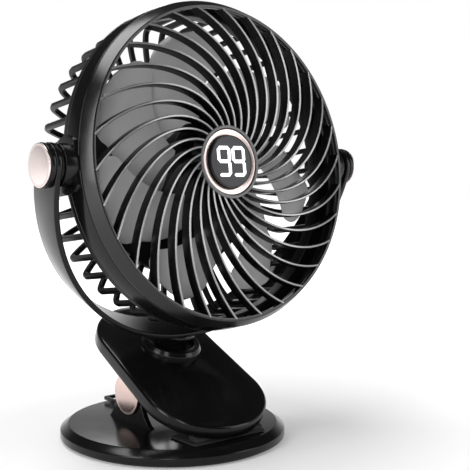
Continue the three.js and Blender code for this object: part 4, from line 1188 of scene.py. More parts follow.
    def make_spring(self) -> None:
        """Makes the torsion spring's coils with their lower leg, and the upper leg on the jaw."""
        half = self.coil_turns * self.coil_pitch / 2
        coil = []
        for index in range(self.coil_turns * self.coil_steps + 1):
            turn = math.tau * index / self.coil_steps
            x = -half + self.coil_pitch * index / self.coil_steps
            y = self.hinge_y + self.coil_radius * math.cos(turn)
            coil.append(Vector((x, y, self.hinge_z - self.coil_radius * math.sin(turn))))
        side = half + self.wire_radius
        reach = self.hinge_y + self.coil_radius
        bend = reach + self.leg_bend
        under = UpperJaw.rim_z - UpperJaw.rim_height - self.wire_radius - SEAT
        rest = BASE_PLACE.inverted() @ (JAW_PLACE @ Vector((0, self.coil_radius + self.leg_reach, under)))
        lower = [
            Vector((-side, reach + self.leg_out, self.top + self.wire_radius + SEAT)),
            Vector((-side, bend, self.hinge_z - self.coil_radius - self.leg_drop)),
        ]
        upper = [Vector((side, bend, self.hinge_z + self.leg_rise)), Vector((side, rest.y, rest.z))]
        steel = self.finishes.steel
        coils = Shape().tube(lower + coil, self.wire_radius)
        self.piece("torsion_spring", coils, Slot.STEEL, steel, "jaw_spring")
        leg = Shape().tube(coil[-2:] + upper, self.wire_radius)
        self.piece("spring_leg", leg, Slot.STEEL, steel, body=Body.JAW)

    def make_socket(self) -> None:
        """Makes the USB-C inlet in the base's side."""
        face = self.radius - self.usb_recess
        back = face - self.usb_depth
        outer = slot_outline(self.usb_half_width, self.usb_half_height)
        inner = slot_outline(self.usb_half_width - self.usb_wall, self.usb_half_height - self.usb_wall)
        stations = ((back, outer), (face, outer), (face, inner), (back + self.usb_floor, inner))
        lift = Matrix.Translation((0, 0, (self.bottom + self.side_top) / 2))
        flat = Matrix(((1, 0, 0, 0), (0, 0, 1, 0), (0, 1, 0, 0), (0, 0, 0, 1)))
        socket = Shape().loft([[Vector((x, y, z)) for y, z in outline] for x, outline in stations], lift)
        ends = (back + self.tongue_root, face - self.tongue_inset)
        tongue = stepped(ends, (-self.tongue_half, self.tongue_half))
        reach = self.usb_half_width * self.tongue_share
        socket.extrude(tongue, -reach, reach, lift @ flat)
        self.piece("usb_inlet", socket, Slot.STEEL, self.finishes.steel, "usb_socket", sharp=CRISP)


@dataclass
class Bail(Assembly):
    """The folding bail that the fan hangs from."""

    pivot_y: float = 43.6
    pivot_z: float = 10.3
    half_width: float = 9.2
    arm: float = 2.4
    reach: float = 15.6
    thickness: float = 2.0
    corner: float = 2.2

    BODY = Body.BAIL

    def build(self) -> None:
        """Makes the bail."""
        half, low = self.thickness / 2, -self.thickness / 2
        inner, top = self.half_width - self.arm, self.reach - self.arm
        side, far = self.half_width - self.corner, self.reach - self.corner
        outline = [
            (self.half_width, low),
            *arc((side, far), (self.corner, self.corner), 0, 90, 8),
            *arc((-side, far), (self.corner, self.corner), 90, 180, 8),
            (-self.half_width, low),
            (-inner, low),
            (-inner, top),
            (inner, top),
            (inner, low),
        ]
        lift = Matrix.Translation((0, self.pivot_y, self.pivot_z))
        loop = Shape().extrude(outline, low, half, lift)
        gloss = self.finishes.gloss_black
        self.piece("bail_loop", loop, Slot.SATIN_BLACK, gloss, "hang_bail", bevel=0.45, sharp=CRISP)


@dataclass
class UpperJaw(Assembly):
    """The sprung upper jaw: a crowned plate over a frame with hinge lugs, and the swivel collar."""

    rim_z: float = 22.4
    front: float = 64.0
    back: float = 50.5
    half_width: float = 36.5
    back_half_width: float = 34.8
    nose: float = 31.6
    tail: float = 33.0
    rim_height: float = 6.3
    bevel: float = 1.3
    bevel_rise: float = 0.9
    crown: float = 4.5
    crown_steps: int = 15
    lug_outer: float = 19.7
    lug_thickness: float = 4.7
    lug_radius: float = 9.0
    lug_root: float = 17.0
    web_front: float = -13.5
    web_back: float = -11.5
    web_bottom: float = 12.0
    floor_inset: float = 2.3
    floor_thickness: float = 1.6
    lean: float = 19.5
    swivel_y: float = 4.0
    collar_radius: float = 17.2
    collar_top: float = 15.8
    collar_height: float = 3.6
    collar_step: float = 1.4
    collar_root: float = -4.0
    recess_radius: float = 12.9
    recess: float = 2.4
    neck_radius: float = 9.0
    pad_half: float = 22.0
    pad_front: float = 50.5
    pad_length: float = 6.5

    BODY = Body.JAW
    PLACE = JAW_PLACE

    def build(self) -> None:
        """Makes the upper jaw's pieces."""
        self.make_plate()
        self.make_frame()
        self.make_pad()
        self.make_collar()

    @property
    def bottom(self) -> float:
        """The height of the rim's lower edge."""
        return self.rim_z - self.rim_height

    @property
    def middle(self) -> float:
        """The plate's middle along Y."""
        return (self.back - self.front) / 2

    def ring(self, inset: float, scale: float, z: float) -> list[Vector]:
        """The plate's outline, drawn in and shrunk about its middle.

        Args:
            inset: How far the outline is drawn in.
            scale: How far it is shrunk.
            z: Its height.

        Returns:
            The outline's points.
        """
        nose = arc((0, self.nose - self.front), (self.half_width - inset, self.nose - inset), 180, 360, 60)
        tail = arc((0, self.back - self.tail), (self.back_half_width - inset, self.tail - inset), 0, 180, 60)
        middle = self.middle
        return [Vector((x * scale, middle + (y - middle) * scale, z)) for x, y in nose + tail]

    def height(self, scale: float) -> float:
        """The crown's height at a share of the way from the plate's middle to its edge."""
        return self.rim_z + self.bevel_rise + (self.crown - self.bevel_rise) * (1 - scale * scale)

    def make_plate(self) -> None:
        """Makes the crowned plate with its bevelled rim."""
        top = self.rim_z + self.bevel_rise
        edge = (
            (0.5, self.bottom),
            (0.12, self.bottom + 0.15),
            (0, self.bottom + 0.5),
            (0, self.rim_z - 0.5),
            (0.12, self.rim_z - 0.1),
            (self.bevel - 0.3, top - 0.12),
            (self.bevel, top),
        )
        rings = [self.ring(inset, 1, z) for inset, z in edge]
        for step in range(1, self.crown_steps):
            scale = 1 - step / self.crown_steps
            rings.append(self.ring(self.bevel, scale, self.height(scale)))
        rings.append(self.ring(self.bevel, 0.001, self.height(0)))
        plate = Shape().loft(rings)
        self.piece("jaw_plate", plate, Slot.GLOSS_BLACK, self.finishes.gloss_black, "jaw_cover")

    def make_frame(self) -> None:
        """Makes the underside's floor, its hinge lugs and the web between them."""
        root = self.bottom + 0.5
        radius, inner = self.lug_radius, self.lug_outer - self.lug_thickness
        outline = [
            *curve((-self.lug_root, root), (-radius - 1, radius), (-radius, 0)),
            *arc((0, 0), (radius, radius), 180, 360, 24)[1:-1],
            *curve((radius, 0), (radius + 1, radius), (self.lug_root, root)),
        ]
        lugs = Shape()
        for side in SIDES.values():
            lugs.extrude(outline, inner, self.lug_outer, side @ ALONG_X)
        web = stepped((self.web_front, self.web_back), (self.web_bottom, root))
        lugs.extrude(web, 1 - self.lug_outer, self.lug_outer - 1, ALONG_X)
        floor = (self.bottom - 0.02, self.bottom + self.floor_thickness)
        lugs.loft([self.ring(self.floor_inset, 1, z) for z in floor])
        satin = self.finishes.satin_black
        self.piece("jaw_lugs", lugs, Slot.SATIN_BLACK, satin, "jaw_frame", bevel=0.4, sharp=CRISP)

    def make_pad(self) -> None:
        """Makes the jaw's rubber pad, in the base's frame."""
        low = Base.top + Base.jaw_pad_rise + SEAT
        near, far = -self.pad_front + self.pad_length, -self.pad_front
        outline = [(near, low), (far, low), (far, self.under(far) - SEAT), (near, self.under(near) - SEAT)]
        self.piece(
            "upper_pad_rubber",
            Base.across(outline, self.pad_half),
            Slot.RUBBER,
            self.finishes.rubber,
            "upper_jaw_pad",
            place=BASE_PLACE,
            bevel=0.3,
            sharp=CRISP,
        )

    def under(self, y: float) -> float:
        """The height of the jaw's underside over a place in the base's Y."""
        along = (y - Base.hinge_y + self.bottom * math.sin(JAW_TILT)) / math.cos(JAW_TILT)
        return Base.hinge_z + along * math.sin(JAW_TILT) + self.bottom * math.cos(JAW_TILT)

    def make_collar(self) -> None:
        """Makes the two-step ring that the yoke's neck turns in."""
        share = (self.swivel_y - self.middle) / (self.back - self.middle)
        lean = Matrix.Rotation(math.radians(self.lean) - JAW_TILT, 4, "X")
        seat = Matrix.Translation((0, self.swivel_y, self.height(share))) @ lean
        profile = [
            (self.neck_radius, self.collar_root),
            (self.collar_radius, self.collar_root),
            (self.collar_radius, self.collar_step),
            (self.collar_top + 0.3, self.collar_height - 0.5),
            (self.collar_top, self.collar_height),
            (self.recess_radius, self.collar_height),
            (self.recess_radius, self.collar_height - self.recess),
            (self.neck_radius, self.collar_height - self.recess),
        ]
        collar = Shape().revolve(rounded(profile, 0.35), HUB_STEPS, seat)
        self.piece("collar_ring", collar, Slot.GLOSS_BLACK, self.finishes.gloss_black, "swivel_collar")


@dataclass
class Yoke(Assembly):
    """The half ring that carries the head, with its neck and its tilt knobs."""

    inside: float = 93.0
    thickness: float = 2.8
    width: float = 21.4
    rounding: float = 0.7
    end_steps: int = 12
    neck_top: float = 12.4
    neck_radius: float = 8.7
    neck_length: float = 6.5
    neck_rise: float = 1.2
    collar_height: float = 3.6
    knob_radius: float = 10.6
    knob_thickness: float = 2.4
    bolt_head: float = 4.3
    cap_radius: float = 10.3
    cap_thickness: float = 0.9
    cap_dome: float = 0.8

    BODY = Body.YOKE
    PLACE = YOKE_PLACE

    def build(self) -> None:
        """Makes the yoke's pieces."""
        self.make_arm()
        self.make_knobs()
        self.dress(self.finishes.steel, "swivel_screw", "tilt_bolt_left", "tilt_bolt_right")

    def section(self, center: Vector, outward: Vector, half: float) -> list[Vector]:
        """A rounded rectangular section of the half ring.

        Args:
            center: The section's middle.
            outward: The direction from the pivot.
            half: Half its width.

        Returns:
            The section's points.
        """
        half = max(half, self.rounding * 1.02)
        inner_half, inner_depth = half - self.rounding, self.thickness / 2 - self.rounding
        ring = []
        for across, out, start in ((1, 1, 0), (-1, 1, 90), (-1, -1, 180), (1, -1, 270)):
            middle = (across * inner_half, out * inner_depth)
            ring += arc(middle, (self.rounding, self.rounding), start, start + 90, 4)
        return [center + Vector((0, y, 0)) + outward * v for y, v in ring]

    def end_section(self, side: int, step: int) -> list[Vector]:
        """A section of one of the half ring's round ends.

        Args:
            side: 1 for the right end and -1 for the left one.
            step: How many steps it stands up from the tilt axis.

        Returns:
            The section's points.
        """
        turn = math.radians(90 * step / self.end_steps)
        end, radius = self.width / 2, self.inside + self.thickness / 2
        center = Vector((side * radius, 0, end * math.sin(turn)))
        return self.section(center, Vector((side, 0, 0)), end * math.cos(turn))

    def make_arm(self) -> None:
        """Makes the half ring with its round ends and its neck."""
        radius, steps = self.inside + self.thickness / 2, HEAD_STEPS // 2
        rings = [self.end_section(-1, step) for step in range(self.end_steps, 0, -1)]
        for step in range(steps + 1):
            turn = math.radians(180 + 180 * step / steps)
            outward = Vector((math.cos(turn), 0, math.sin(turn)))
            rings.append(self.section(outward * radius, outward, self.width / 2))
        rings += [self.end_section(1, step) for step in range(1, self.end_steps + 1)]
        outside = self.inside + self.thickness
        foot = -outside - self.neck_length
        neck = [
            (0, -self.inside - self.neck_rise),
            (self.neck_top - 1, -self.inside - self.neck_rise),
            (self.neck_top, -outside - 0.6),
            (self.neck_radius + 1.4, -outside - self.neck_length * 0.55),
            (self.neck_radius, foot),
            (self.neck_radius, foot - self.collar_height),
            (0, foot - self.collar_height),
        ]
        arm = Shape().loft(rings).revolve(rounded(neck, 1.2, 5), KNOB_STEPS)
        self.piece("half_ring", arm, Slot.GLOSS_BLACK, self.finishes.gloss_black, "yoke", sharp=50)

    def make_knobs(self) -> None:
        """Makes the tilt knobs and their rose-gold caps."""
        back = self.inside + self.thickness + SEAT
        front = back + self.knob_thickness
        barrel = rounded(stepped((self.bolt_head, self.knob_radius), (back, front)), 0.35)
        cap = cap_profile(self.cap_radius, self.cap_thickness, self.cap_dome, front + SEAT)
        gold = self.finishes.rose_gold("rose_gold_tilt", YOKE_PLACE @ ALONG_X)
        for side, turn in SIDES.items():
            for name, node, outline, slot, material in (
                (f"knob_{side}", "tilt_knob", barrel, Slot.GLOSS_BLACK, self.finishes.gloss_black),
                (f"knob_cap_{side}", "tilt_cap", cap, Slot.ROSE_GOLD, gold),
            ):
                disc = Shape().revolve(outline, KNOB_STEPS, turn @ ALONG_X)
                self.piece(name, disc, slot, material, f"{node}_{side}")


@dataclass
class Band(Assembly):
    """The broad ring round the head, with its pivot bosses."""

    back_radius: float = 85.6
    front_radius: float = 84.1
    back: float = 0.9
    front: float = 10.0
    wall: float = 3.0
    boss_radius: float = 10.4
    boss_root: float = 82.0
    boss_face: float = 90.9
    pad_radius: float = 14.0
    pad_rise: float = 0.8
    pad_steps: int = 96

    BODY = Body.HEAD
    PLACE = HEAD_PLACE

    def build(self) -> None:
        """Makes the band."""
        profile = [
            (self.back_radius - self.wall, self.back),
            (self.back_radius, self.back),
            (self.front_radius, self.front),
            (self.front_radius - self.wall, self.front),
        ]
        band = Shape().revolve(rounded(profile, 0.5), HEAD_STEPS)
        boss = rounded(stepped((0, self.boss_radius), (self.boss_root, self.boss_face)), 0.4)
        for side in SIDES.values():
            band.revolve(boss, KNOB_STEPS, side @ ALONG_X)
            band.loft(self.pad_rings(), side)
        self.piece("head_band", band, Slot.GLOSS_BLACK, self.finishes.gloss_black, "fan_band", sharp=40)
        self.dress(self.finishes.satin_black, *(f"tilt_washer_{side}" for side in SIDES))

    def pad_rings(self) -> list[list[Vector]]:
        """The rings of the curved pad between the band and a boss.

        Returns:
            The rings, from the band's inside out and in to the boss.
        """
        top = self.back_radius + self.pad_rise
        levels = (
            (self.pad_radius, self.back_radius - self.wall),
            (self.pad_radius, top - 0.4),
            (self.pad_radius - 0.15, top - 0.1),
            (self.pad_radius - 0.5, top),
            (self.boss_radius * 0.5, top),
        )
        rings = []
        for radius, reach in levels:
            circle = [polar(radius, 360 * step / self.pad_steps, 0) for step in range(self.pad_steps)]
            flat = [(point.x, min(point.y, self.front - 1)) for point in circle]
            rings.append([Vector((math.sqrt(reach * reach - y * y), y, z)) for y, z in flat])
        return rings


@dataclass
class FrontGrille(Assembly):
    """The swirl grille: a rim, swept fins under a shallow dome and the display's cup."""

    copies: int = 30
    rim_outer: float = 84.1
    rim_inner: float = 79.0
    rim_wall: float = 3.0
    rim_back: float = 10.3
    rim_edge: float = 0.7
    rim_face: float = 16.8
    rim_face_width: float = 1.7
    rim_lip: float = 2.0
    fin_width: float = 1.5
    fin_depth: float = 6.0
    fin_stations: int = 36
    fin_root: float = 0.8  # how far the fins reach into the cup
    fin_end: float = 1.0  # how far they reach into the rim
    fin_drop: float = 0.1  # how far their front edges lie below the rim's face there
    rim_angle: float = 3.4
    swirl_linear: float = 47.5
    swirl_log: float = 17.8
    dome_rise: float = 5.0
    dome_power: float = 0.8
    cup_radius: float = 18.9
    cup_back: float = 8.5
    cup_front: float = 17.2
    cup_wall: float = 1.8
    cup_floor: float = 1.7

    BODY = Body.HEAD
    PLACE = HEAD_PLACE

    def build(self) -> None:
        """Makes the grille's rim, its cup and its fins."""
        rim = [
            (self.rim_outer, self.rim_back),
            (self.rim_outer, self.rim_back + self.rim_edge),
            (self.rim_inner + self.rim_face_width, self.rim_face),
            (self.rim_inner, self.rim_face),
            (self.rim_inner, self.rim_face - self.rim_lip),
            (self.rim_outer - self.rim_wall, self.rim_back),
        ]
        cup = stepped(
            (0, self.cup_radius, self.cup_radius - self.cup_wall),
            (self.cup_back, self.cup_front, self.cup_back + self.cup_floor),
        )
        rim_shape = Shape().revolve(rounded(rim, 0.35, 4), HEAD_STEPS)
        cup_shape = Shape().revolve(rounded(cup, 0.5), HEAD_STEPS)
        for name, form, material in (
            ("grille_rim", rim_shape, self.finishes.rim_black),
            ("display_cup", cup_shape, self.finishes.cup_grey),
            ("swirl_fins", self.fins(), self.finishes.fin_black),
        ):
            self.piece(name, form, Slot.SPOKE_BLACK, material, "front_grille", sharp=30)

    def fins(self) -> bpy.types.Mesh:
        """Makes the fins, whose section narrows towards the front edge.

        Returns:
            The fins' mesh.
        """
        half = self.fin_width / 2
        right = [(half, 0.0), (half, 0.84), (half * 0.86, 0.93), (half * 0.5, 1.0)]
        section = right + [(-y, z) for y, z in reversed(right)]
        stations = [station / self.fin_stations for station in range(self.fin_stations + 1)]
        end = self.rim_inner + self.fin_end
        return self.grown(
            "swirl_fins",
            Shape().loft([[Vector((x, y, z)) for y, z in section] for x in stations]),
            swirl_fins(),
            self.finishes.fin_black,
            Copies=self.copies,
            Inner_Radius=self.cup_radius - self.fin_root,
            Outer_Radius=end,
            Rim_Angle=self.rim_angle,
            Swirl_Linear=self.swirl_linear / end,
            Swirl_Log=self.swirl_log,
            Rim_Height=self.rim_face - self.fin_drop,
            Dome_Rise=self.dome_rise,
            Dome_Power=self.dome_power,
            Fin_Depth=self.fin_depth,
        )


@dataclass
class Display(Assembly):
    """The round display: a rose-gold ring, a smoked window with a black ring of painted shadow round it, and
    two lit digits.
    """

    ring_outer: float = 17.0
    ring_inner: float = 13.4
    ring_back: float = 12.5
    ring_front: float = 16.8
    ring_depth: float = 0.6
    ring_edge: float = 0.4
    shadow_ring_inner: float = 13.05
    lens_front: float = 18.1
    digit_height: float = 15.6
    digit_width: float = 8.6
    digit_pitch: float = 9.5
    stroke: float = 1.75
    stroke_gap: float = 0.12
    glow: float = 0.12

    BODY = Body.HEAD
    PLACE = HEAD_PLACE

    def build(self) -> None:
        """Makes the display's pieces."""
        ring = [
            (self.ring_inner + SEAT, self.ring_back),
            (self.ring_outer, self.ring_back),
            (self.ring_outer, self.ring_front - self.ring_edge),
            (self.ring_outer - self.ring_edge, self.ring_front),
            (self.ring_inner + SEAT, self.ring_front - self.ring_depth),
        ]
        # The black ring round the window is painted shadow where the window meets the rose-gold ring.
        edge = stepped((self.shadow_ring_inner, self.ring_inner), (self.ring_back, self.lens_front))
        lens = stepped((0, self.shadow_ring_inner - 0.02), (self.ring_back, self.lens_front - 0.1))
        gold = self.finishes.rose_gold("rose_gold_display", HEAD_PLACE, 0.4)
        for name, outline, rounding, slot, material, node in (
            ("display_ring", ring, 0.25, Slot.ROSE_GOLD, gold, "display_bezel"),
            ("window_shadow_ring", edge, 0.15, Slot.LENS, self.finishes.gloss_black, "display_lens"),
            ("display_window", lens, 0.2, Slot.LENS, self.finishes.lens, "display_lens"),
        ):
            shape = Shape().revolve(rounded(outline, rounding), HUB_STEPS)
            self.piece(name, shape, slot, material, node)
        digits = Shape()
        for offset in (-self.digit_pitch / 2, self.digit_pitch / 2):
            for outline in self.nine():
                shifted = [(x + offset, y) for x, y in outline]
                digits.extrude(shifted, self.lens_front - 0.3, self.lens_front + self.glow)
        self.piece("digits", digits, Slot.LENS, self.finishes.digit, sharp=CRISP)
        self.dress(self.finishes.board, "display_board")

    def nine(self) -> list[list[Point2]]:
        """The six lit segments of a nine, about the digit's middle.

        Returns:
            The segments' outlines.
        """
        x = (self.digit_width - self.stroke) / 2
        y = (self.digit_height - self.stroke) / 2
        level = [((-x, height), (x, height)) for height in (y, 0, -y)]
        upright = [((-x, 0), (-x, y)), ((x, 0), (x, y)), ((x, -y), (x, 0))]
        return [self.segment(Vector(a), Vector(b)) for a, b in level + upright]

    def segment(self, start: Vector, end: Vector) -> list[Point2]:
        """One segment of a digit, with its ends cut to a blunt point.

        Args:
            start: The corner where it starts.
            end: The corner where it ends.

        Returns:
            Its outline.
        """
        ahead = (end - start).normalized()
        side = Vector((-ahead.y, ahead.x)) * self.stroke / 2
        cut = ahead * (self.stroke * 0.42)
        near, far = start + ahead * self.stroke_gap, end - ahead * self.stroke_gap
        first = [near + side * 0.2, near - side * 0.2, near + cut - side]
        last = [far - cut - side, far - side * 0.2, far + side * 0.2, far - cut + side]
        return [tuple(point) for point in (*first, *last, near + cut + side)]


@dataclass
class RearCage(Assembly):
    """The rear cage: bars bent round from the band to a hub plate that holds the motor."""

    copies: int = 44
    ring_outer: float = 85.3
    ring_inner: float = 82.6
    ring_back: float = 2.8
    ring_front: float = 0.6
    bar_width: float = 2.8
    bar_depth: float = 3.0
    bar_rounding: float = 0.55
    wall_inner: float = 79.0
    wall_outer: float = 82.2
    wall_back: float = 7.2
    radius: float = 82.0
    side: float = 28.5
    corner: float = 7.0
    corner_steps: int = 8
    slope: float = 24.0
    dome_steps: int = 14
    phase: float = -0.5
    hub_back: float = 37.0
    hub_radius: float = 54.0
    hub_wall: float = 4.0
    floor_front: float = 31.0
    floor_thickness: float = 2.5
    tube_radius: float = 6.2
    tube_bore: float = 4.3
    tube_front: float = 3.0
    cover_bulge: float = 7.0
    cover_wall: float = 2.0
    cover_shoulder: float = 5.0
    cover_lip: float = 3.0
    screws: int = 3
    screw_reach: float = 36.0
    screw_radius: float = 1.9
    button_radius: float = 6.0
    button_proud: float = 1.4
    symbol_radius: float = 2.5
    symbol_stroke: float = 0.5
    symbol_gap: float = 40.0  # degrees from the symbol's stem to either end of its ring
    stem_bottom: float = 0.6
    stem_top: float = 2.9

    BODY = Body.HEAD
    PLACE = HEAD_PLACE

    def build(self) -> None:
        """Makes the cage, the hub cover and the button."""
        floor_back = self.floor_front + self.floor_thickness
        ring = [
            (self.wall_inner, -self.wall_back),
            (self.wall_outer, -self.wall_back),
            (self.ring_inner, -self.ring_back),
            (self.ring_outer, -self.ring_back),
            (self.ring_outer, self.ring_front),
            (self.wall_inner, self.ring_front),
        ]
        hub = stepped(
            (self.tube_bore, self.tube_radius, self.hub_radius, self.hub_radius - self.hub_wall),
            (-self.tube_front, -self.floor_front, -self.hub_back, -floor_back),
        )
        satin = self.finishes.satin_black
        rings = Shape().revolve(rounded(ring, 0.5), HEAD_STEPS).revolve(rounded(hub, 0.5), HUB_STEPS)
        self.piece("cage_rings", rings, Slot.SATIN_BLACK, satin, "rear_grille")
        bar = Shape().loft(self.bar_rings())
        bars = self.grown("cage_bars", bar, ring_pattern(), satin, Copies=self.copies)
        self.piece("cage_bars", bars, Slot.SATIN_BLACK, satin, "rear_grille", sharp=40)
        self.make_cover()
        self.make_button()
        self.dress(self.finishes.board, "control_board")
        self.dress(self.finishes.copper, "motor_stator")
        self.dress(self.finishes.steel, "bearing_front", "bearing_rear")

    def bar_path(self) -> list[tuple[float, float, float]]:
        """The bar's outer line: straight back, round a corner and in on a shallow dome.

        Returns:
            The radius, the height and the slant in degrees of each of its points.
        """
        path = [(self.radius, 1.5 - self.wall_back, 90.0), (self.radius, -self.side, 90.0)]
        for step in range(1, self.corner_steps + 1):
            slant = 90 + (self.slope - 90) * step / self.corner_steps
            turn = math.radians(slant)
            r = self.radius - self.corner + self.corner * math.sin(turn)
            path.append((r, -self.side - self.corner * math.cos(turn), slant))
        corner_r, corner_z, _ = path[-1]
        reach = corner_r - self.hub_radius
        rise = math.tan(math.radians(self.slope))
        for step in range(1, self.dome_steps + 1):
            rest = 1 - step / self.dome_steps
            z = corner_z - rise * reach * (1 - rest**3) / 3
            path.append((self.hub_radius + reach * rest, z, math.degrees(math.atan(rise * rest**2))))
        return path

    def bar_rings(self) -> list[list[Vector]]:
        """The rounded sections of one bar along its path.

        Returns:
            The sections, from the band to the hub.
        """
        half, rounding, depth = self.bar_width / 2, self.bar_rounding, self.bar_depth
        right = [(half - rounding, 0), (half, rounding), (half, depth - rounding), (half - rounding, depth)]
        section = right + [(-w, d) for w, d in reversed(right)]
        path = self.bar_path()
        points = [polar(r, self.phase, z) for r, z, _ in path]
        rings = []
        for index, (outer, (_, _, slant)) in enumerate(zip(points, path)):
            turn = math.radians(90 + slant)
            inside = polar(math.cos(turn), self.phase, math.sin(turn))
            along = points[min(index + 1, len(points) - 1)] - points[max(index - 1, 0)]
            side = along.cross(inside).normalized()
            rings.append([outer + side * w + inside * d for w, d in section])
        return rings

    @property
    def outside(self) -> float:
        """How far back the hub cover's rearmost face lies."""
        return self.hub_back + SEAT + self.cover_bulge

    def make_cover(self) -> None:
        """Makes the hub's rear cover and its screws."""
        seat, outside = self.hub_back + SEAT, self.outside
        shoulder = -seat - self.cover_bulge * 0.85
        bore = self.button_radius + SEAT
        profile = [
            (self.hub_radius - 0.2, -seat),
            (self.hub_radius - 0.6, -seat - self.cover_bulge * 0.45),
            (self.hub_radius - self.cover_shoulder, shoulder),
            (bore + self.cover_lip, -outside),
            (bore, -outside + 0.5),
            (bore, -outside + self.cover_wall),
            (self.hub_radius - self.cover_shoulder - 1, shoulder + self.cover_wall),
            (self.hub_radius - self.hub_wall + 1, -seat),
        ]
        cover = Shape().revolve(rounded(profile, 2.5, 6), HUB_STEPS)
        self.piece("hub_cover", cover, Slot.SATIN_BLACK, self.finishes.satin_black, "rear_hub_cover")
        radius, steel = self.screw_radius, self.finishes.steel
        head = rounded([(0, -0.45), (radius, -0.35), (radius, 0.9), (0, 0.9)], 0.3)
        seat_at = Matrix.Translation((self.screw_reach, 0, -outside + 0.95))
        screw = Shape().revolve(head, PIN_STEPS // 2, seat_at)
        screws = self.grown("cover_screws", screw, ring_pattern(), steel, Copies=self.screws)
        self.piece("cover_screws", screws, Slot.STEEL, steel, sharp=CRISP)

    def make_button(self) -> None:
        """Makes the power button with the generic on-off symbol."""
        radius, outside = self.button_radius, self.outside
        face, root = -outside - self.button_proud, -outside + self.cover_wall + SEAT
        profile = [(0, face + 0.25), (radius - 1, face), (radius, face + 0.8), (radius, root), (0, root)]
        key = Shape().revolve(rounded(profile, 0.3), KNOB_STEPS)
        gloss = self.finishes.gloss_black
        self.piece("power_key", key, Slot.SATIN_BLACK, gloss, "power_button", body=Body.BUTTON)
        outer, half = self.symbol_radius, self.symbol_stroke / 2
        inner = outer - self.symbol_stroke
        first, last = 90 + self.symbol_gap, 450 - self.symbol_gap
        ring = arc((0, 0), (outer, outer), first, last, 40) + arc((0, 0), (inner, inner), last, first, 40)
        low, high = face - 0.05, face + 0.4
        stem = stepped((-half, half), (self.stem_bottom, self.stem_top))
        mark = Shape().extrude(ring, low, high).extrude(stem, low, high)
        paint = self.finishes.symbol
        self.piece("power_symbol", mark, Slot.SATIN_BLACK, paint, body=Body.BUTTON, sharp=CRISP)


@dataclass
class Impeller(Assembly):
    """The impeller: a hub with broad pitched blades, turning on the motor's shaft."""

    copies: int = 7
    tip: float = 71.0
    thickness: float = 1.6
    edge_thinning: float = 0.7
    lead: float = 3.0
    trail: float = 13.0
    tip_pitch: float = 0.35
    hub_radius: float = 26.0
    hub_front: float = 4.5
    hub_back: float = 13.0
    hub_wall: float = 2.0
    hub_edge: float = 3.0
    hub_face: float = 2.4
    start: float = 145.0
    camber: float = 3.0
    shoulder: float = 0.69
    sweep: float = 38.0
    lead_span: float = 21.0
    lead_cut: float = 16.5
    trail_span: float = 23.0
    trail_cut: float = 15.7
    rows: int = 26
    columns: int = 22

    BODY = Body.IMPELLER
    PLACE = HEAD_PLACE

    def build(self) -> None:
        """Makes the impeller."""
        inner = self.hub_radius - self.hub_wall
        profile = [
            (0, self.hub_front),
            (self.hub_radius - self.hub_edge, self.hub_front),
            (self.hub_radius, self.hub_front - self.hub_edge),
            (self.hub_radius, -self.hub_back),
            (inner, -self.hub_back),
            (inner, self.hub_front - self.hub_face - 0.8),
            (inner - 1, self.hub_front - self.hub_face),
            (0, self.hub_front - self.hub_face),
        ]
        hub = Shape().revolve(rounded(profile, 0.8), HUB_STEPS)
        self.piece("fan_hub", hub, Slot.FAN_GREY, self.finishes.satin_black, "impeller")
        grey = self.finishes.fan_grey
        blades = self.grown("fan_blades", self.blade(), ring_pattern(), grey, Copies=self.copies)
        self.piece("fan_blades", blades, Slot.FAN_GREY, grey, "impeller", sharp=50)
        self.dress(self.finishes.steel, "rotor_ring", "fan_shaft")

    def span(self, radius: float) -> tuple[float, float]:
        """The angles of a blade's leading and trailing edges.

        Args:
            radius: The radius that they are asked for.

        Returns:
            Both angles in degrees from the blade's middle.
        """
        share = (radius - self.hub_radius) / (self.tip - self.hub_radius)
        sweep = self.sweep * max(0.0, 1 - share / self.shoulder)
        past = max(0.0, (share - self.shoulder) / (1 - self.shoulder))
        leading = sweep - self.lead_span + self.lead_cut * past**4
        return leading, sweep + self.trail_span - self.trail_cut * past**2

    def blade_line(self, radius: float, lift: float) -> list[Vector]:
        """One line across a blade's face, from the leading edge to the trailing one.

        Args:
            radius: The line's radius.
            lift: How far the face lies in front of the blade's middle.

        Returns:
            The line's points.
        """
        root = self.hub_radius - 1
        low, high = self.span(radius)
        pitch = root / radius + self.tip_pitch * (1 - root / radius)
        middle = (self.lead - self.trail) / 2
        line = []
        for column in range(self.columns):
            share = column / (self.columns - 1)
            slope = self.lead - (self.lead + self.trail) * share
            camber = self.camber * math.sin(math.pi * share)
            taper = lift * (1 - self.edge_thinning * abs(2 * share - 1) ** 6)
            z = middle + (slope - middle) * pitch + camber + taper
            line.append(polar(radius, self.start + low + (high - low) * share, z))
        return line

    def blade(self) -> Shape:
        """One blade, as a closed skin round its two faces.

        Returns:
            The blade's shape.
        """
        root, half = self.hub_radius - 1, self.thickness / 2
        rings = []
        for row in range(self.rows):
            radius = root + (self.tip - root) * row / (self.rows - 1)
            rings.append(self.blade_line(radius, half) + self.blade_line(radius, -half)[::-1])
        return Shape().loft(rings)


# ---- Studio ----
@dataclass
class Softbox:
    """One soft area light.

    Attributes:
        name: The light's name.
        at: Its place in metres.
        aim: The height in metres of the point on the Z axis that it faces.
        size: Its width and height in metres.
        power: Its power in watts.
    """

    name: str
    at: tuple[float, float, float]
    aim: float
    size: tuple[float, float]
    power: float

    def build(self) -> None:
        """Makes the light."""
        light = bpy.data.lights.new(self.name, "AREA")
        light.shape = "RECTANGLE"
        light.size, light.size_y = self.size
        light.energy = self.power
        lamp = bpy.data.objects.new(self.name, light)
        bpy.context.scene.collection.objects.link(lamp)
        lamp.location = self.at
        away = Vector((0, 0, self.aim)) - Vector(self.at)
        lamp.rotation_euler = away.to_track_quat("-Z", "Y").to_euler()


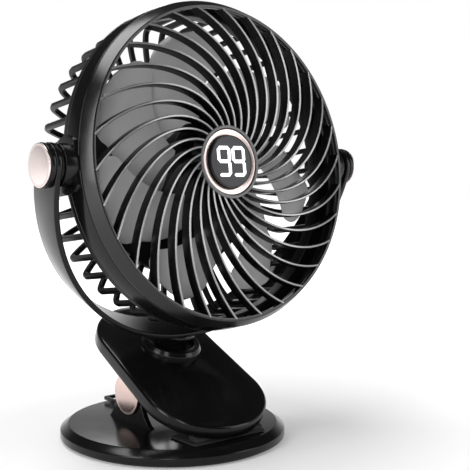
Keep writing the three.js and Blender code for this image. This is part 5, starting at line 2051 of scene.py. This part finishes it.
@dataclass
class Studio:
    """The camera, the floor, the world and the lights."""

    camera_at: tuple[float, float, float] = (-0.2975, -0.4074, 0.146)
    right: tuple[float, float, float] = (0.788, -0.616, -0.001)
    back: tuple[float, float, float] = (-0.614, -0.786, 0.063)
    focal_px: float = 911.5
    center_px: tuple[float, float] = (201.6, 230.8)
    image_px: float = 470.0
    sensor: float = 36.0
    floor_half: float = 4.0
    floor_z: float = -0.0001

    def build(self) -> None:
        """Makes the whole studio."""
        bpy.context.scene.view_settings.view_transform = "Standard"
        self.make_camera()
        self.make_world()
        self.make_floor()
        for light in (
            Softbox("overhead", (-0.25, 0.15, 1.1), 0.1, (0.62, 0.62), 8.0),
            Softbox("left_window", (-1.0, -0.25, 0.55), 0.13, (0.35, 1.0), 7.0),
            Softbox("right_fill", (0.75, -0.85, 0.5), 0.12, (0.5, 0.8), 3.2),
            Softbox("back_card", (0.6, 0.98, 0.62), 0.12, (0.3, 0.3), 0.9),
            Softbox("front_strip", (-0.7, -0.8, 0.3), 0.13, (0.22, 0.8), 2.6),
        ):
            light.build()

    def make_camera(self) -> None:
        """Makes the camera at the photograph's place and angle."""
        data = bpy.data.cameras.new("photo_camera")
        data.sensor_width = self.sensor
        data.lens = self.focal_px * self.sensor / self.image_px
        middle = self.image_px / 2
        data.shift_x = (middle - self.center_px[0]) / self.image_px
        data.shift_y = (self.center_px[1] - middle) / self.image_px
        camera = bpy.data.objects.new("photo_camera", data)
        bpy.context.scene.collection.objects.link(camera)
        z_axis = Vector(self.back).normalized()
        y_axis = z_axis.cross(Vector(self.right)).normalized()
        turn = facing(y_axis.cross(z_axis), y_axis, z_axis)
        camera.matrix_world = Matrix.Translation(Vector(self.camera_at)) @ turn
        bpy.context.scene.camera = camera

    def make_world(self) -> None:
        """Makes a white surround, which surfaces mirror as darker overhead and on one side."""
        world = bpy.data.worlds.new("studio")
        bpy.context.scene.world = world
        world.use_nodes = True
        rule = Rule(world.node_tree)
        rays = rule.node("ShaderNodeLightPath").outputs
        glossy = rays["Is Glossy Ray"]
        seen = rule.math("MAXIMUM", rays["Is Camera Ray"], rays["Is Transmission Ray"])
        direction = rule.node("ShaderNodeTexCoord").outputs["Generated"]
        across, ahead, height = rule.node("ShaderNodeSeparateXYZ", Vector=direction).outputs
        shade = rule.node(
            "ShaderNodeMapRange", Value=height, From_Min=0.05, From_Max=0.4, To_Min=1.0, To_Max=0.03
        )
        sideways = rule.math("ADD", across, ahead)
        lit = rule.node(
            "ShaderNodeMapRange", Value=sideways, From_Min=-0.5, From_Max=0.1, To_Min=0.08, To_Max=1.0
        )
        mirrored = rule.math("MULTIPLY", glossy, rule.math("MULTIPLY", shade.outputs[0], lit.outputs[0]))
        soft = rule.math("MULTIPLY", rule.math("SUBTRACT", 1.0, glossy), 0.45)
        level = rule.math("MAXIMUM", rule.math("MAXIMUM", seen, mirrored), soft)
        rule.fill(world.node_tree.nodes["Background"], Strength=level, Color=(1.0, 1.0, 1.0))

    def make_floor(self) -> None:
        """Makes the plain pale floor, which keeps the fan's shadow."""
        half = self.floor_half
        plane = bpy.data.meshes.new("floor")
        corners = stepped((-half, half), (-half, half))
        plane.from_pydata([(x, y, 0) for x, y in corners], [], [(0, 1, 2, 3)])
        plane.materials.append(PaleFloor("floor", (0.6, 0.6, 0.6), (1.0, 1.0, 1.0), 0.75).build())
        floor = bpy.data.objects.new("floor", plane)
        bpy.context.scene.collection.objects.link(floor)
        floor.location.z = self.floor_z


def main() -> None:
    """Builds the studio and the fan, sub-assembly by sub-assembly."""
    logging.basicConfig(level=logging.INFO, format="%(name)s: %(message)s")
    Studio().build()
    finishes = Finishes()
    for assembly in (Base, Bail, UpperJaw, Yoke, Band, FrontGrille, Display, RearCage, Impeller):
        assembly(finishes).build()


if __name__ == "__main__":
    main()
